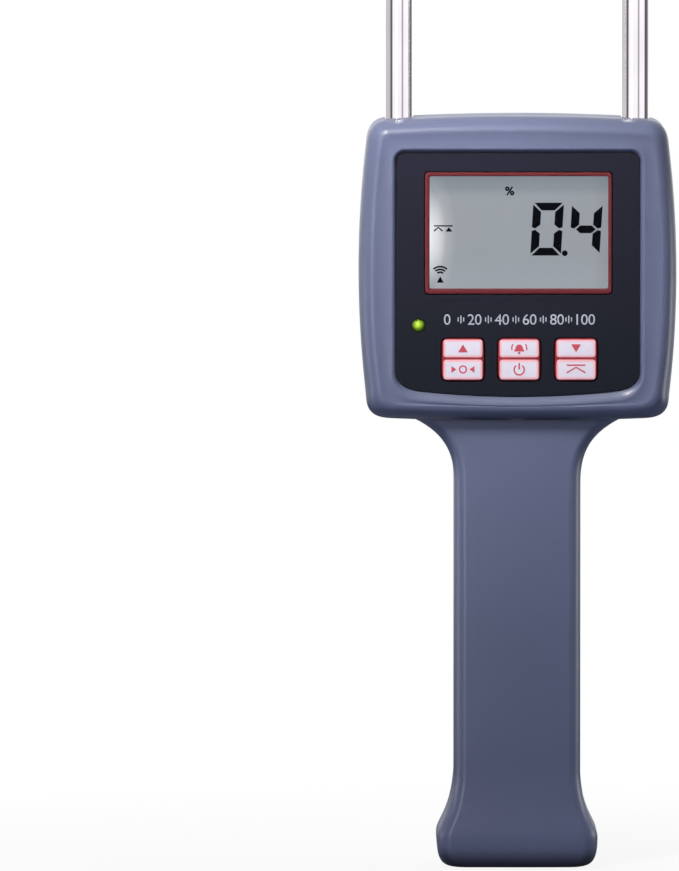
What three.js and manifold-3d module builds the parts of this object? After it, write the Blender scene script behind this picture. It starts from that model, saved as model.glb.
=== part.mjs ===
// Handheld moisture meter with two long probes. Millimetres, +Z up, the display facing -Y.
// The origin is the centre of the flat foot of the handle, and the two casing halves meet on the plane y = 0.
// The casing is two hollow shells; the display, keys, board, probe mounting and battery sit inside them.
import * as THREE from "three";
import { mergeVertices } from "three/addons/utils/BufferGeometryUtils.js";
import Module from "manifold-3d";

const wasm = await Module();
wasm.setup();

// ---------- Driving dimensions ----------

const TOTAL_HEIGHT = 460; // foot to probe points
const HEAD_FRONT = -17.5; // the rim round the panel
const HEAD_BACK = 17.5;
const HEAD_WALL = 2.0;
const HANDLE_FRONT = 13.3; // depth of the grip in front of the parting plane
const HANDLE_BACK = 13.6; // and behind it
const HANDLE_WALL = 1.5;
const GRIP_HALF_WIDTH = 14.85;
const PARTING_GAP = 0.1; // each casing half stops this far from y = 0
const GAP = 0.3; // between pieces that rest on each other
const SLIP = 0.2; // round a piece that sits in an opening

// The outline of the head from the front. The left half mirrors it.
const HEAD = {
  top: 176.85, // crown of the arched top edge
  foot: 105.15, // lowest point of the bottom edge
  halfWidth: 37.3, // where the sides bulge most
  crown: [30.5, 175.95], // the top edge ends and the upper corner starts
  shoulder: [35.5, 170.1], // the upper corner ends and the side starts
  hip: [35.65, 111.35], // the side ends and the lower corner starts
  heel: [30.0, 105.8], // the lower corner ends and the bottom edge starts
};
const HEAD_EDGE = { across: 3.4, deep: 6.0 }; // the ellipse that rounds the head's rim

// The display panel, sunk into the head's front.
const PANEL = { halfWidth: 28.6, top: 168.5, foot: 111.05, side: 117.0, topRadius: 2.2, sag: 1.25 };
const PANEL_FRONT = -16.5;
const PANEL_SEAT = -15.7;
const PANEL_THICK = 0.7;
const FRONT_WALL_BACK = -13.7; // back of the wall that the panel is glued to

// The display: a red bezel round a clear window, the liquid-crystal glass and its backlight.
const SCREEN = { x: 0.1, z: 149.55, width: 43.85, height: 28.55, radius: 0.9 };
const SCREEN_RIM = 0.9; // width of the red line that shows round the window
const GLASS = { width: 50, height: 34, front: -12.8, thick: 2.0 };

// The three keys, which press in along +Y.
const KEYS = { zero: -12.9, power: 0.3, hold: 13.65 };
const KEY = { z: 119.88, width: 9.9, height: 9.85, radius: 1.4, front: -17.0 };
const KEY_FLANGE = { side: 11.4, front: -13.5, back: -12.8 };
const KEY_STEM_END = -11.7;
const LAMP = { x: -23.3, z: 127.86, radius: 1.5 };

const BOARD = { halfWidth: 27.6, foot: 111.5, top: 173.6, front: -7.0, back: -5.4 };
const BOARD_SCREWS = [[-23.4, 115.6], [23.4, 115.6], [-22, 171.9], [22, 171.9]];

const CASE_SCREWS = [[-30.5, 145], [30.5, 145], [-29.4, 114.5], [29.4, 114.5], [0, 98], [0, 14]];
const SCREW_SEAT = 8.0; // y of the shoulder that each case screw's head pulls on

const PROBE = { x: 27.8, y: 0.8, radius: 3.3, bore: 2.3, pointLength: 13, tubeFoot: 161.3 };
const SEAL = { inner: 3.45, outer: 4.3, foot: 171.3, top: 173.8 };
const BLOCK = { halfWidth: 33.2, front: -4.2, back: 5.8, foot: 158, top: 171, shelf: 161 };
const BLOCK_SCREWS = [-12, 12];
const BLOCK_SCREW_Z = 164.5;

const DOOR = { foot: 26.2, top: 91.8, side: 8.2 }; // the battery door is the back of the grip between these
const BATTERY = { halfWidth: 13.1, front: -8.2, back: 9.3, foot: 30.5, top: 76.9, pitch: 12.7, stud: 2.1 };
const LEAD_RADIUS = 0.65;

// ---------- Colours ----------

function finish(color, roughness, metalness = 0) {
  return new THREE.MeshStandardMaterial({ color, roughness, metalness });
}

const MATERIALS = {
  casing: finish(0x6b7192, 0.55),
  panel: finish(0x2a2b38, 0.35),
  red: finish(0x8e2630, 0.45),
  key: finish(0xe2dff2, 0.5),
  window: finish(0xdfe6ea, 0.05),
  liquidCrystal: finish(0x9aa2aa, 0.25),
  lamp: finish(0x9fd62e, 0.2),
  white: finish(0xe8e8e4, 0.5),
  black: finish(0x1d1d20, 0.5),
  board: finish(0x1f6b3c, 0.45),
  rubber: finish(0x2b2b2d, 0.9),
  foam: finish(0x3a3a3c, 1.0),
  steel: finish(0xc4c6ca, 0.22, 1),
  tinned: finish(0xb9bcc0, 0.35, 1),
  battery: finish(0x3a3f4a, 0.4),
  redLead: finish(0xb0201c, 0.5),
  blackLead: finish(0x17171a, 0.5),
};

const meter = new THREE.Group();

function place(name, made, material) {
  const mesh = new THREE.Mesh(made.isBufferGeometry ? made : geometryOf(made), material);
  mesh.name = name;
  meter.add(mesh);
}

// ---------- Shape tools ----------

// A closed three.js geometry as a solid that can be joined and cut.
function solid(geometry) {
  const loose = geometry.index ? geometry.toNonIndexed() : geometry;
  const bare = new THREE.BufferGeometry().setAttribute("position", loose.getAttribute("position"));
  const merged = mergeVertices(bare, 1e-4);
  const vertProperties = merged.attributes.position.array;
  const triVerts = new Uint32Array(merged.index.array);
  return new wasm.Manifold(new wasm.Mesh({ numProp: 3, vertProperties, triVerts }));
}

function geometryOf(made) {
  const { numProp, numVert, vertProperties, triVerts } = made.getMesh();
  const points = new Float32Array(numVert * 3);
  for (let i = 0; i < numVert; i++) points.set(vertProperties.subarray(i * numProp, i * numProp + 3), i * 3);
  const geometry = new THREE.BufferGeometry().setAttribute("position", new THREE.BufferAttribute(points, 3));
  geometry.setIndex(new THREE.BufferAttribute(triVerts, 1));
  geometry.computeVertexNormals();
  return geometry;
}

function joined(...solids) {
  return solids.reduce((all, one) => all.add(one));
}

function box([x0, x1], [y0, y1], [z0, z1]) {
  const geometry = new THREE.BoxGeometry(x1 - x0, y1 - y0, z1 - z0);
  return solid(geometry.translate((x0 + x1) / 2, (y0 + y1) / 2, (z0 + z1) / 2));
}

// A cylinder whose axis runs front to back, at x and z.
function post(x, z, radius, y0, y1, sides = 16) {
  return solid(new THREE.CylinderGeometry(radius, radius, y1 - y0, sides).translate(x, (y0 + y1) / 2, z));
}

// A cylinder that stands along Z, at x and y.
function pillar(x, y, radius, z0, z1, sides = 20) {
  const geometry = new THREE.CylinderGeometry(radius, radius, z1 - z0, sides).rotateX(Math.PI / 2);
  return solid(geometry.translate(x, y, (z0 + z1) / 2));
}

function roundedRectangle(width, height, radius) {
  const [w, h] = [width / 2, height / 2];
  const outline = new THREE.Shape();
  outline.absarc(w - radius, h - radius, radius, 0, Math.PI / 2);
  outline.absarc(radius - w, h - radius, radius, Math.PI / 2, Math.PI);
  outline.absarc(radius - w, radius - h, radius, Math.PI, Math.PI * 1.5);
  outline.absarc(w - radius, radius - h, radius, Math.PI * 1.5, Math.PI * 2);
  return outline;
}

// An outline drawn in x and z, made thick from yFront to yBack. across and deep are the two radii of the
// ellipse that rounds both rims, and inset shrinks the whole outline.
function slab(outline, yFront, yBack, { across = 0, deep = 0, steps = 4, inset = 0, curve = 3 } = {}) {
  const geometry = new THREE.ExtrudeGeometry(outline, {
    depth: yBack - yFront - 2 * deep,
    bevelEnabled: across > 0,
    bevelSize: across,
    bevelThickness: deep,
    bevelOffset: -across - inset,
    bevelSegments: steps,
    curveSegments: curve,
  });
  return solid(geometry.translate(0, 0, deep).rotateX(Math.PI / 2).translate(0, yBack, 0));
}

function plate(x, z, width, height, radius, yFront, yBack) {
  return slab(roundedRectangle(width, height, radius), yFront, yBack).translate(x, 0, z);
}

// An outline drawn in x and y, made tall from z0 to z1.
function column(outline, z0, z1) {
  const settings = { depth: z1 - z0, bevelEnabled: false, curveSegments: 3 };
  return solid(new THREE.ExtrudeGeometry(outline, settings).translate(0, 0, z0));
}

// A profile of [radius, height] pairs turned about its own axis, which then stands along Z.
function turned(profile, sides = 24) {
  const points = profile.map(([radius, height]) => new THREE.Vector2(radius, height));
  return solid(new THREE.LatheGeometry(points, sides).rotateX(Math.PI / 2));
}

// Closed horizontal rings, lowest first and counter-clockwise from above, joined into one capped body.
function loft(rings) {
  const count = rings[0].length;
  const faces = [];
  const last = (rings.length - 1) * count;
  for (let start = 0; start < last; start += count)
    for (let i = 0; i < count; i++) {
      const [a, b] = [start + i, start + ((i + 1) % count)];
      faces.push(a, b, b + count, a, b + count, a + count);
    }
  for (let i = 1; i + 1 < count; i++) faces.push(0, i + 1, i, last, last + i, last + i + 1);
  const geometry = new THREE.BufferGeometry().setFromPoints(rings.flat());
  geometry.setIndex(faces);
  return solid(geometry);
}

// ---------- Casing outlines ----------

// A curve that leaves [x, z] and ends at [x, z], bulging so that its middle passes through the given middle.
function arch(outline, [x0, z0], [x1, z1], [middleX, middleZ]) {
  outline.quadraticCurveTo(2 * middleX - (x0 + x1) / 2, 2 * middleZ - (z0 + z1) / 2, x1, z1);
}

function headOutline() {
  const { top, foot, halfWidth, crown, shoulder, hip, heel } = HEAD;
  const left = ([x, z]) => [-x, z];
  const middle = (shoulder[1] + hip[1]) / 2;
  const outline = new THREE.Shape();
  outline.moveTo(...crown);
  arch(outline, crown, left(crown), [0, top]);
  outline.bezierCurveTo(-33.5, 175.75, -35.2, 174.2, ...left(shoulder));
  arch(outline, left(shoulder), left(hip), [-halfWidth, middle]);
  outline.bezierCurveTo(-35.6, 107.45, -34.0, 106.0, ...left(heel));
  arch(outline, left(heel), heel, [0, foot]);
  outline.bezierCurveTo(34.0, 106.0, 35.6, 107.45, ...hip);
  arch(outline, hip, shoulder, [halfWidth, middle]);
  outline.bezierCurveTo(35.2, 174.2, 33.5, 175.75, ...crown);
  return outline;
}

// The panel's outline, grown outwards by grow. Its lower corners are wide and its lower edge sags.
function panelOutline(grow = 0) {
  const { halfWidth, top, foot, side, topRadius, sag } = PANEL;
  const [w, high, low] = [halfWidth + grow, top + grow, foot - grow];
  const corner = [w - 5.5, low + sag];
  const outline = new THREE.Shape();
  outline.moveTo(w, high - topRadius);
  outline.absarc(w - topRadius, high - topRadius, topRadius, 0, Math.PI / 2);
  outline.absarc(topRadius - w, high - topRadius, topRadius, Math.PI / 2, Math.PI);
  outline.lineTo(-w, side);
  outline.bezierCurveTo(-w, side - 2.9, 1.9 - w, low + sag + 0.5, -corner[0], corner[1]);
  arch(outline, [-corner[0], corner[1]], corner, [0, low]);
  outline.bezierCurveTo(w - 1.9, low + sag + 0.5, w, side - 2.9, w, side);
  return outline;
}

// The half-width of the handle against height, from the flat foot up through the flare, grip and neck.
const FOOT_CORNER = [[14.6, 0], [18.3, 0], [18.95, 2.5], [18.95, 7.0]];
const FLARE = [[18.95, 7.0], [18.9, 10.0], [15.5, 11.6], [14.85, 22.0]];
const NECK = [[14.85, 90.5], [14.85, 97.8], [17.1, 102.5], [25.8, 106.3]];
const HANDLE_TOP = 109; // hidden inside the head

function sampled(points, count) {
  const [a, b, c, d] = points.map(([width, z]) => new THREE.Vector2(width, z));
  return new THREE.CubicBezierCurve(a, b, c, d).getPoints(count);
}

function handleLevels(footSteps, flareSteps, neckSteps) {
  const levels = [...sampled(FOOT_CORNER, footSteps), ...sampled(FLARE, flareSteps).slice(1)];
  levels.push(...sampled(NECK, neckSteps), new THREE.Vector2(NECK[3][0], HANDLE_TOP));
  return levels.map(({ x, y }) => ({ halfWidth: x, z: y }));
}

// How far the handle reaches in front of or behind the parting plane, at a level: it swells a little with the
// flare, and draws in with the rounded foot.
const SWELL = 0.2; // share of the sideways flare
const FOOT_DRAW = 0.35; // share of the foot's sideways rounding
function handleDepth(grip, { halfWidth, z }) {
  const flareDepth = SWELL * (FLARE[0][0] - GRIP_HALF_WIDTH);
  if (z < FLARE[0][1]) return grip + flareDepth - FOOT_DRAW * (FLARE[0][0] - halfWidth);
  return z < FLARE[3][1] ? grip + SWELL * (halfWidth - GRIP_HALF_WIDTH) : grip;
}

// A rounded rectangle at height z, as a counter-clockwise ring that starts on the right.
function ring(halfWidth, front, back, across, deep, z, steps) {
  const points = [];
  const corners = [[1, 1, back], [-1, 1, back], [-1, -1, front], [1, -1, front]];
  corners.forEach(([sideways, backwards, depth], quarter) => {
    for (let i = 0; i <= steps; i++) {
      const turn = (quarter + i / steps) * (Math.PI / 2);
      const x = sideways * (halfWidth - across) + across * Math.cos(turn);
      const y = backwards * (depth - deep) + deep * Math.sin(turn);
      points.push(new THREE.Vector3(x, y, z));
    }
  });
  return points;
}

function handleBody(wall, levels, steps) {
  const rings = levels.map((level) => {
    const across = 2.9 + 0.17 * (level.halfWidth - GRIP_HALF_WIDTH);
    const front = handleDepth(HANDLE_FRONT, level) - wall;
    const back = handleDepth(HANDLE_BACK, level) - wall;
    const edge = Math.max(across - wall, 0.8);
    const z = Math.max(level.z, wall);
    return ring(level.halfWidth - wall, front, back, edge, edge + 1.2, z, steps);
  });
  return loft(rings);
}

// ---------- Casing ----------

const FAR = 600; // larger than the part, for cutting whole sides away
const frontHalfSpace = box([-FAR, FAR], [-FAR, -PARTING_GAP], [-FAR, FAR]);
const rearHalfSpace = box([-FAR, FAR], [PARTING_GAP, FAR], [-FAR, FAR]);

const headBody = slab(headOutline(), HEAD_FRONT, HEAD_BACK, { ...HEAD_EDGE, curve: 6 });
const handleOuter = handleBody(0, handleLevels(4, 5, 5), 4);
const outerBody = joined(headBody, handleOuter);
// The cavity's lowest levels collapse onto the floor of the foot, so they are left out.
const cavityLevels = handleLevels(3, 3, 4).filter((level, i) => i === 0 || level.z > HANDLE_WALL);
const headCavity = slab(headOutline(), HEAD_FRONT + HEAD_WALL, HEAD_BACK - HEAD_WALL, {
  across: 1.6, deep: 3.0, steps: 2, inset: HEAD_WALL, curve: 3,
});
const cavity = joined(headCavity, handleBody(HANDLE_WALL, cavityLevels, 2));

const probeHoles = joined(
  ...[-PROBE.x, PROBE.x].flatMap((x) => [
    pillar(x, PROBE.y, PROBE.radius + 0.25, BLOCK.top - 1, HEAD.top + 3),
    pillar(x, PROBE.y, SEAL.outer + GAP, BLOCK.top - 1, SEAL.top + SLIP),
  ]),
);

function keyOpenings(y0, y1) {
  const [width, height] = [KEY.width + 3 * SLIP, KEY.height + 3 * SLIP];
  return joined(...Object.values(KEYS).map((x) => plate(x, KEY.z, width, height, KEY.radius + SLIP, y0, y1)));
}

function screenOpening(y0, y1) {
  return plate(SCREEN.x, SCREEN.z, SCREEN.width + 2 * SLIP, SCREEN.height + 2 * SLIP, SCREEN.radius, y0, y1);
}

function frontCasing() {
  const [recessFront, recessBack] = [HEAD_FRONT - 1, PANEL_SEAT];
  const seat = slab(panelOutline(1.6), PANEL_SEAT - 0.4, FRONT_WALL_BACK);
  const caseBosses = CASE_SCREWS.map(([x, z]) => post(x, z, 2.4, HEAD_FRONT + 1, -0.15, 12));
  const boardPosts = BOARD_SCREWS.map(([x, z]) => post(x, z, 2.1, -15, BOARD.front - 0.15, 12));
  const batteryRibs = [36, 70].map((z) => box([-14, 14], [-12.5, BATTERY.front - GAP], [z, z + 1.4]));
  const batteryShelf = box([-14.2, 14.2], [-12.6, -PARTING_GAP], [28.4, BATTERY.foot - GAP]);
  const inside = joined(seat, ...caseBosses, ...boardPosts, ...batteryRibs, batteryShelf);
  const pilots = joined(
    ...CASE_SCREWS.map(([x, z]) => post(x, z, 1.4, -9.2, 0, 8)),
    ...BOARD_SCREWS.map(([x, z]) => post(x, z, 1.0, -12.6, -6, 8)),
  );
  return outerBody
    .subtract(cavity)
    .add(inside.intersect(outerBody))
    .intersect(frontHalfSpace)
    .subtract(slab(panelOutline(), recessFront, recessBack, { curve: 5 }))
    .subtract(screenOpening(HEAD_FRONT, 0).intersect(box([-FAR, FAR], [HEAD_FRONT, FRONT_WALL_BACK + 1], [0, FAR])))
    .subtract(keyOpenings(HEAD_FRONT, FRONT_WALL_BACK + 1))
    .subtract(post(LAMP.x, LAMP.z, LAMP.radius + SLIP, HEAD_FRONT, FRONT_WALL_BACK + 1))
    .subtract(pilots)
    .subtract(probeHoles);
}

// The back of the grip that the battery door closes, grown by gap all round.
function doorRegion(gap) {
  return box([-FAR, FAR], [DOOR.side - gap, FAR], [DOOR.foot - gap, DOOR.top + gap]);
}

function rearCasing() {
  const caseBosses = CASE_SCREWS.map(([x, z]) => post(x, z, 4.2, 0.15, HEAD_BACK - 1, 14));
  const blockPosts = BLOCK_SCREWS.map((x) => post(x, BLOCK_SCREW_Z, 3.0, BLOCK.back + GAP, HEAD_BACK - 1, 12));
  const batteryShelf = box([-14.2, 14.2], [PARTING_GAP, 7.4], [28.4, BATTERY.foot - GAP]);
  const inside = joined(...caseBosses, ...blockPosts, batteryShelf);
  const holes = joined(
    ...CASE_SCREWS.map(([x, z]) => post(x, z, 1.6, 0, SCREW_SEAT + 0.5, 8)),
    ...CASE_SCREWS.map(([x, z]) => post(x, z, 2.9, SCREW_SEAT, HEAD_BACK + 1)),
    ...BLOCK_SCREWS.map((x) => post(x, BLOCK_SCREW_Z, 1.4, BLOCK.back, 13.5, 8)),
  );
  return outerBody
    .subtract(cavity)
    .add(inside.intersect(outerBody))
    .intersect(rearHalfSpace)
    .subtract(doorRegion(GAP))
    .subtract(holes)
    .subtract(probeHoles);
}

// The door is a channel with two hooks at its foot, which catch behind the casing's edge and are its hinge.
function batteryDoor() {
  const wall = 1.6;
  const shell = handleOuter.intersect(doorRegion(0)).subtract(handleBody(wall, cavityLevels, 2));
  const hooks = [-7, 7].map((x) =>
    joined(box([x - 2.5, x + 2.5], [10.6, 11.7], [23.2, 29]), box([x - 2.5, x + 2.5], [10.6, 12.4], [27, 29])),
  );
  const ribs = [-9.6, 9.6].map((x) => box([x - 0.6, x + 0.6], [10.4, 12.4], [34, 84]));
  return joined(shell, ...hooks, ...ribs);
}

function doorFoamPad() {
  return box([-7, 7], [9.7, 11.7], [38, 66]);
}

// ---------- Display ----------

function panelOverlay() {
  return slab(panelOutline(-0.15), PANEL_FRONT, PANEL_FRONT + PANEL_THICK, { curve: 5 })
    .subtract(screenOpening(PANEL_FRONT - 1, 0))
    .subtract(keyOpenings(PANEL_FRONT - 1, 0))
    .subtract(post(LAMP.x, LAMP.z, LAMP.radius + SLIP, PANEL_FRONT - 1, 0));
}

function displayBezel() {
  const { x, z, width, height, radius } = SCREEN;
  const rim = plate(x, z, width, height, radius, PANEL_FRONT, -12.95);
  const flange = plate(x, z, width + 3.2, height + 3.2, 1.2, FRONT_WALL_BACK + 0.15, -12.95);
  const opening = plate(x, z, width - 2 * SCREEN_RIM, height - 2 * SCREEN_RIM, 0.5, PANEL_FRONT - 1, -12);
  return joined(rim, flange).subtract(opening);
}

function displayWindow() {
  const inset = 2 * (SCREEN_RIM + SLIP);
  return plate(SCREEN.x, SCREEN.z, SCREEN.width - inset, SCREEN.height - inset, 0.4, -15.6, -14.6);
}

function liquidCrystalGlass() {
  return plate(SCREEN.x, SCREEN.z, GLASS.width, GLASS.height, 0.4, GLASS.front, GLASS.front + GLASS.thick);
}

function displayHolder() {
  const ring = plate(SCREEN.x, SCREEN.z, GLASS.width + 4.6, GLASS.height + 4.6, 1.2, -12.9, BOARD.front - 0.1);
  return ring.subtract(plate(SCREEN.x, SCREEN.z, GLASS.width + 0.8, GLASS.height + 0.8, 0.6, -14, 0));
}

function zebraStrip() {
  return box([-23, 23.4], [-10.6, BOARD.front - 0.1], [163.9, 166.1]);
}

function backlightPanel() {
  return plate(SCREEN.x + 0.4, SCREEN.z, 44, 26.6, 0.5, -10.5, -7.9);
}

function backlightLed() {
  return box([-24.8, -22.4], [-10.3, -7.2], [143.2, 151.2]);
}

// ---------- Keys and lamp ----------

function key(x) {
  const cap = plate(x, KEY.z, KEY.width, KEY.height, KEY.radius, KEY.front, KEY_FLANGE.front + 0.2);
  const flange = plate(x, KEY.z, KEY_FLANGE.side, KEY_FLANGE.side, 1.2, KEY_FLANGE.front, KEY_FLANGE.back);
  return joined(cap, flange, post(x, KEY.z, 1.6, KEY_FLANGE.back - 0.2, KEY_STEM_END, 12));
}

function keySwitch(x) {
  const body = plate(x, KEY.z, 6, 6, 0.5, -10.4, BOARD.front - 0.1);
  return body.subtract(post(x, KEY.z, 1.95, -11, -8.6, 14));
}

function keyPlunger(x) {
  return post(x, KEY.z, 1.7, KEY_STEM_END + 0.1, -9.3, 14);
}

function alarmLamp() {
  const { x, z, radius } = LAMP;
  const profile = [
    [0, 11.6], [1.95, 11.6], [1.95, 12.6], [radius, 12.6], [radius, 15.4], [1.3, 16.2], [0.75, 16.8], [0, 17],
  ];
  const bulb = turned(profile, 16).rotate([90, 0, 0]).translate([x, 0, z]);
  const legs = [-0.9, 0.4].map((low) =>
    box([x - 0.25, x + 0.25], [-11.8, BOARD.front - 0.1], [z + low, z + low + 0.5]),
  );
  return joined(bulb, ...legs);
}

// ---------- Circuit board ----------

function circuitBoard() {
  const { halfWidth, foot, top, front, back } = BOARD;
  const outline = new THREE.Shape();
  outline.moveTo(-halfWidth, foot).lineTo(halfWidth, foot).lineTo(halfWidth, top - 3);
  outline.lineTo(halfWidth - 3, top).lineTo(3 - halfWidth, top).lineTo(-halfWidth, top - 3);
  const holes = BOARD_SCREWS.map(([x, z]) => post(x, z, 1.1, front - 1, back + 1, 10));
  const notches = CASE_SCREWS.slice(2, 4).map(([x, z]) => post(x, z, 3.9, front - 1, back + 1, 20));
  return slab(outline, front, back).subtract(joined(...holes, ...notches));
}

function controllerChip() {
  return box([-18, -8], [BOARD.back + 0.1, BOARD.back + 1.7], [122, 132]);
}

function buzzer() {
  const can = post(17, 126, 6, BOARD.back + 0.1, BOARD.back + 5.6, 24);
  return can.subtract(post(17, 126, 1.0, BOARD.back + 4.4, 2, 10));
}

function crystal() {
  return plate(-13, 139, 10, 3.8, 1.8, BOARD.back + 0.1, BOARD.back + 3.6);
}

function capacitor() {
  return post(16, 138, 2.6, BOARD.back + 0.1, BOARD.back + 7.1, 16);
}

function probeSocket() {
  return box([-4.5, 4.5], [BOARD.back + 0.1, BOARD.back + 5.9], [136, 142]);
}

function batterySocket() {
  return box([-4.5, 4.5], [BOARD.back + 0.1, BOARD.back + 5.9], [112.5, 118.5]);
}

// ---------- Fasteners ----------

// A pan-head screw whose axis runs front to back, with its head towards +Y, or towards -Y when turned round.
function screw([x, z], seat, length, shank, head, headHeight, faces = 1) {
  const profile = [
    [0, -length], [shank, 1.6 - length], [shank, 0], [head, 0],
    [head, headHeight * 0.5], [head * 0.72, headHeight], [0, headHeight],
  ];
  return turned(profile, 12).rotate([-90 * faces, 0, 0]).translate([x, seat, z]);
}

// ---------- Probes ----------

function probeBlock() {
  const { halfWidth, front, back, foot, top, shelf } = BLOCK;
  const bores = [-PROBE.x, PROBE.x].flatMap((x) => [
    pillar(x, PROBE.y, PROBE.radius + 0.25, shelf, top + 1),
    pillar(x, PROBE.y, 2.75, foot - 1, shelf + 1),
  ]);
  const screwHoles = BLOCK_SCREWS.flatMap((x) => [
    post(x, BLOCK_SCREW_Z, 1.6, front - 1, back + 1, 8),
    post(x, BLOCK_SCREW_Z, 3.0, front - 1, front + 2.4, 14),
  ]);
  return box([-halfWidth, halfWidth], [front, back], [foot, top]).subtract(joined(...bores, ...screwHoles));
}

const POINT_FOOT = TOTAL_HEIGHT - PROBE.pointLength;

function probeTube(x) {
  const { radius, bore, tubeFoot } = PROBE;
  const tubeTop = POINT_FOOT - 0.1;
  const wall = [[bore, tubeFoot], [radius, tubeFoot], [radius, tubeTop], [bore, tubeTop], [bore, tubeFoot]];
  return turned(wall, 24).translate([x, PROBE.y, 0]);
}

function probeTip(x) {
  const spigot = PROBE.bore - SLIP;
  const profile = [
    [0, POINT_FOOT - 10], [spigot, POINT_FOOT - 10], [spigot, POINT_FOOT], [PROBE.radius, POINT_FOOT],
    [PROBE.radius, POINT_FOOT + 0.8], [2.7, POINT_FOOT + 3.2], [0.4, TOTAL_HEIGHT - 0.5], [0, TOTAL_HEIGHT],
  ];
  return turned(profile, 24).translate([x, PROBE.y, 0]);
}

function probeStud(x) {
  const profile = [[0, 150], [1.9, 150], [2.4, 150.6], [2.4, 161.2], [2.1, 161.5], [2.1, 173.5], [0, 173.5]];
  return turned(profile, 16).translate([x, PROBE.y, 0]);
}

function probeNut(x) {
  const hexagon = pillar(x, PROBE.y, 4.6, 152.4, 156.4, 6);
  return hexagon.subtract(pillar(x, PROBE.y, 2.6, 150, 160));
}

// A crimped ring terminal under the nut, its barrel pointing at the middle of the head.
function ringTerminal(x) {
  const inwards = -Math.sign(x);
  const reach = (from, to) => [x + inwards * from, x + inwards * to].sort((a, b) => a - b);
  const tongue = box(reach(3.5, 8), [PROBE.y - 1.5, PROBE.y + 1.5], [156.8, 157.6]);
  const barrel = box(reach(7, 11.5), [PROBE.y - 1.3, PROBE.y + 1.3], [155.9, 157.6]);
  const eye = pillar(x, PROBE.y, 4.4, 156.8, 157.6);
  return joined(eye, tongue, barrel).subtract(pillar(x, PROBE.y, 2.65, 150, 160));
}

function probeSeal(x) {
  const { inner, outer, foot, top } = SEAL;
  const section = [[inner, foot], [outer, foot], [outer, top], [inner, top], [inner, foot]];
  return turned(section, 20).translate([x, PROBE.y, 0]);
}

// ---------- Battery ----------

const BATTERY_MIDDLE = (BATTERY.front + BATTERY.back) / 2;

function battery() {
  const { halfWidth, front, back, foot, top, pitch, stud } = BATTERY;
  const can = column(roundedRectangle(2 * halfWidth, back - front, 2.0), foot, top).translate(0, BATTERY_MIDDLE, 0);
  const positive = pillar(pitch / 2, BATTERY_MIDDLE, 2.9, top - 0.5, top + stud, 16);
  const negative = pillar(-pitch / 2, BATTERY_MIDDLE, 3.9, top - 0.5, top + stud, 8);
  return joined(can, positive, negative);
}

function batterySnap() {
  const { top, pitch, stud } = BATTERY;
  const plateTop = top + stud + 2.0;
  const body = column(roundedRectangle(25.4, 12.4, 1.5), top + GAP, plateTop).translate(0, BATTERY_MIDDLE, 0);
  const pockets = joined(
    pillar(pitch / 2, BATTERY_MIDDLE, 3.25, top, top + stud + GAP, 16),
    pillar(-pitch / 2, BATTERY_MIDDLE, 4.3, top, top + stud + GAP, 16),
  );
  return body.subtract(pockets);
}

// ---------- Leads ----------

function lead(points) {
  const path = new THREE.CatmullRomCurve3(points.map((p) => new THREE.Vector3(...p)));
  const section = new THREE.Shape().absarc(0, 0, LEAD_RADIUS, 0, Math.PI * 2);
  const settings = { extrudePath: path, steps: 18, bevelEnabled: false, curveSegments: 3 };
  return solid(new THREE.ExtrudeGeometry(section, settings));
}

function probeLead(side) {
  return lead([
    [side * 15.9, PROBE.y, 156.7], [side * 13.2, 1.6, 156.2], [side * 10.4, 4.0, 153.2], [side * 7.0, 3.6, 148.6],
    [side * 3.2, -0.6, 145.8], [side * 2.0, -2.4, 142.3],
  ]);
}

function batteryLead(side) {
  return lead([
    [side * 4.0, BATTERY_MIDDLE, 81.3], [side * 4.6, 0.2, 85], [side * 6.6, -1.2, 91], [side * 7.2, -1.4, 98],
    [side * 5.8, -1.8, 105], [side * 2.6, -2.4, 109.4], [side * 2.0, -2.6, 112.2],
  ]);
}

// ---------- Assembly ----------

place("front_casing", frontCasing(), MATERIALS.casing);
place("rear_casing", rearCasing(), MATERIALS.casing);
place("battery_door", batteryDoor(), MATERIALS.casing);
place("door_foam_pad", doorFoamPad(), MATERIALS.foam);
place("panel_overlay", panelOverlay(), MATERIALS.panel);
place("display_bezel", displayBezel(), MATERIALS.red);
place("display_window", displayWindow(), MATERIALS.window);
place("lcd_glass", liquidCrystalGlass(), MATERIALS.liquidCrystal);
place("lcd_holder", displayHolder(), MATERIALS.black);
place("zebra_strip", zebraStrip(), MATERIALS.rubber);
place("backlight_panel", backlightPanel(), MATERIALS.white);
place("backlight_led", backlightLed(), MATERIALS.white);
place("alarm_lamp", alarmLamp(), MATERIALS.lamp);

for (const [name, x] of Object.entries(KEYS)) {
  place(`${name}_key`, key(x), MATERIALS.key);
  place(`${name}_switch`, keySwitch(x), MATERIALS.black);
  place(`${name}_plunger`, keyPlunger(x), MATERIALS.white);
}

place("circuit_board", circuitBoard(), MATERIALS.board);
place("controller_chip", controllerChip(), MATERIALS.black);
place("buzzer", buzzer(), MATERIALS.black);
place("crystal", crystal(), MATERIALS.tinned);
place("capacitor", capacitor(), MATERIALS.black);
place("probe_socket", probeSocket(), MATERIALS.white);
place("battery_socket", batterySocket(), MATERIALS.white);
BOARD_SCREWS.forEach((at, i) => {
  place(`board_screw_${i + 1}`, screw(at, BOARD.back + 0.1, 6.6, 0.85, 1.8, 0.9), MATERIALS.steel);
});
CASE_SCREWS.forEach((at, i) => {
  place(`case_screw_${i + 1}`, screw(at, SCREW_SEAT + 0.1, 16, 1.25, 2.5, 2.0), MATERIALS.steel);
});

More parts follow.
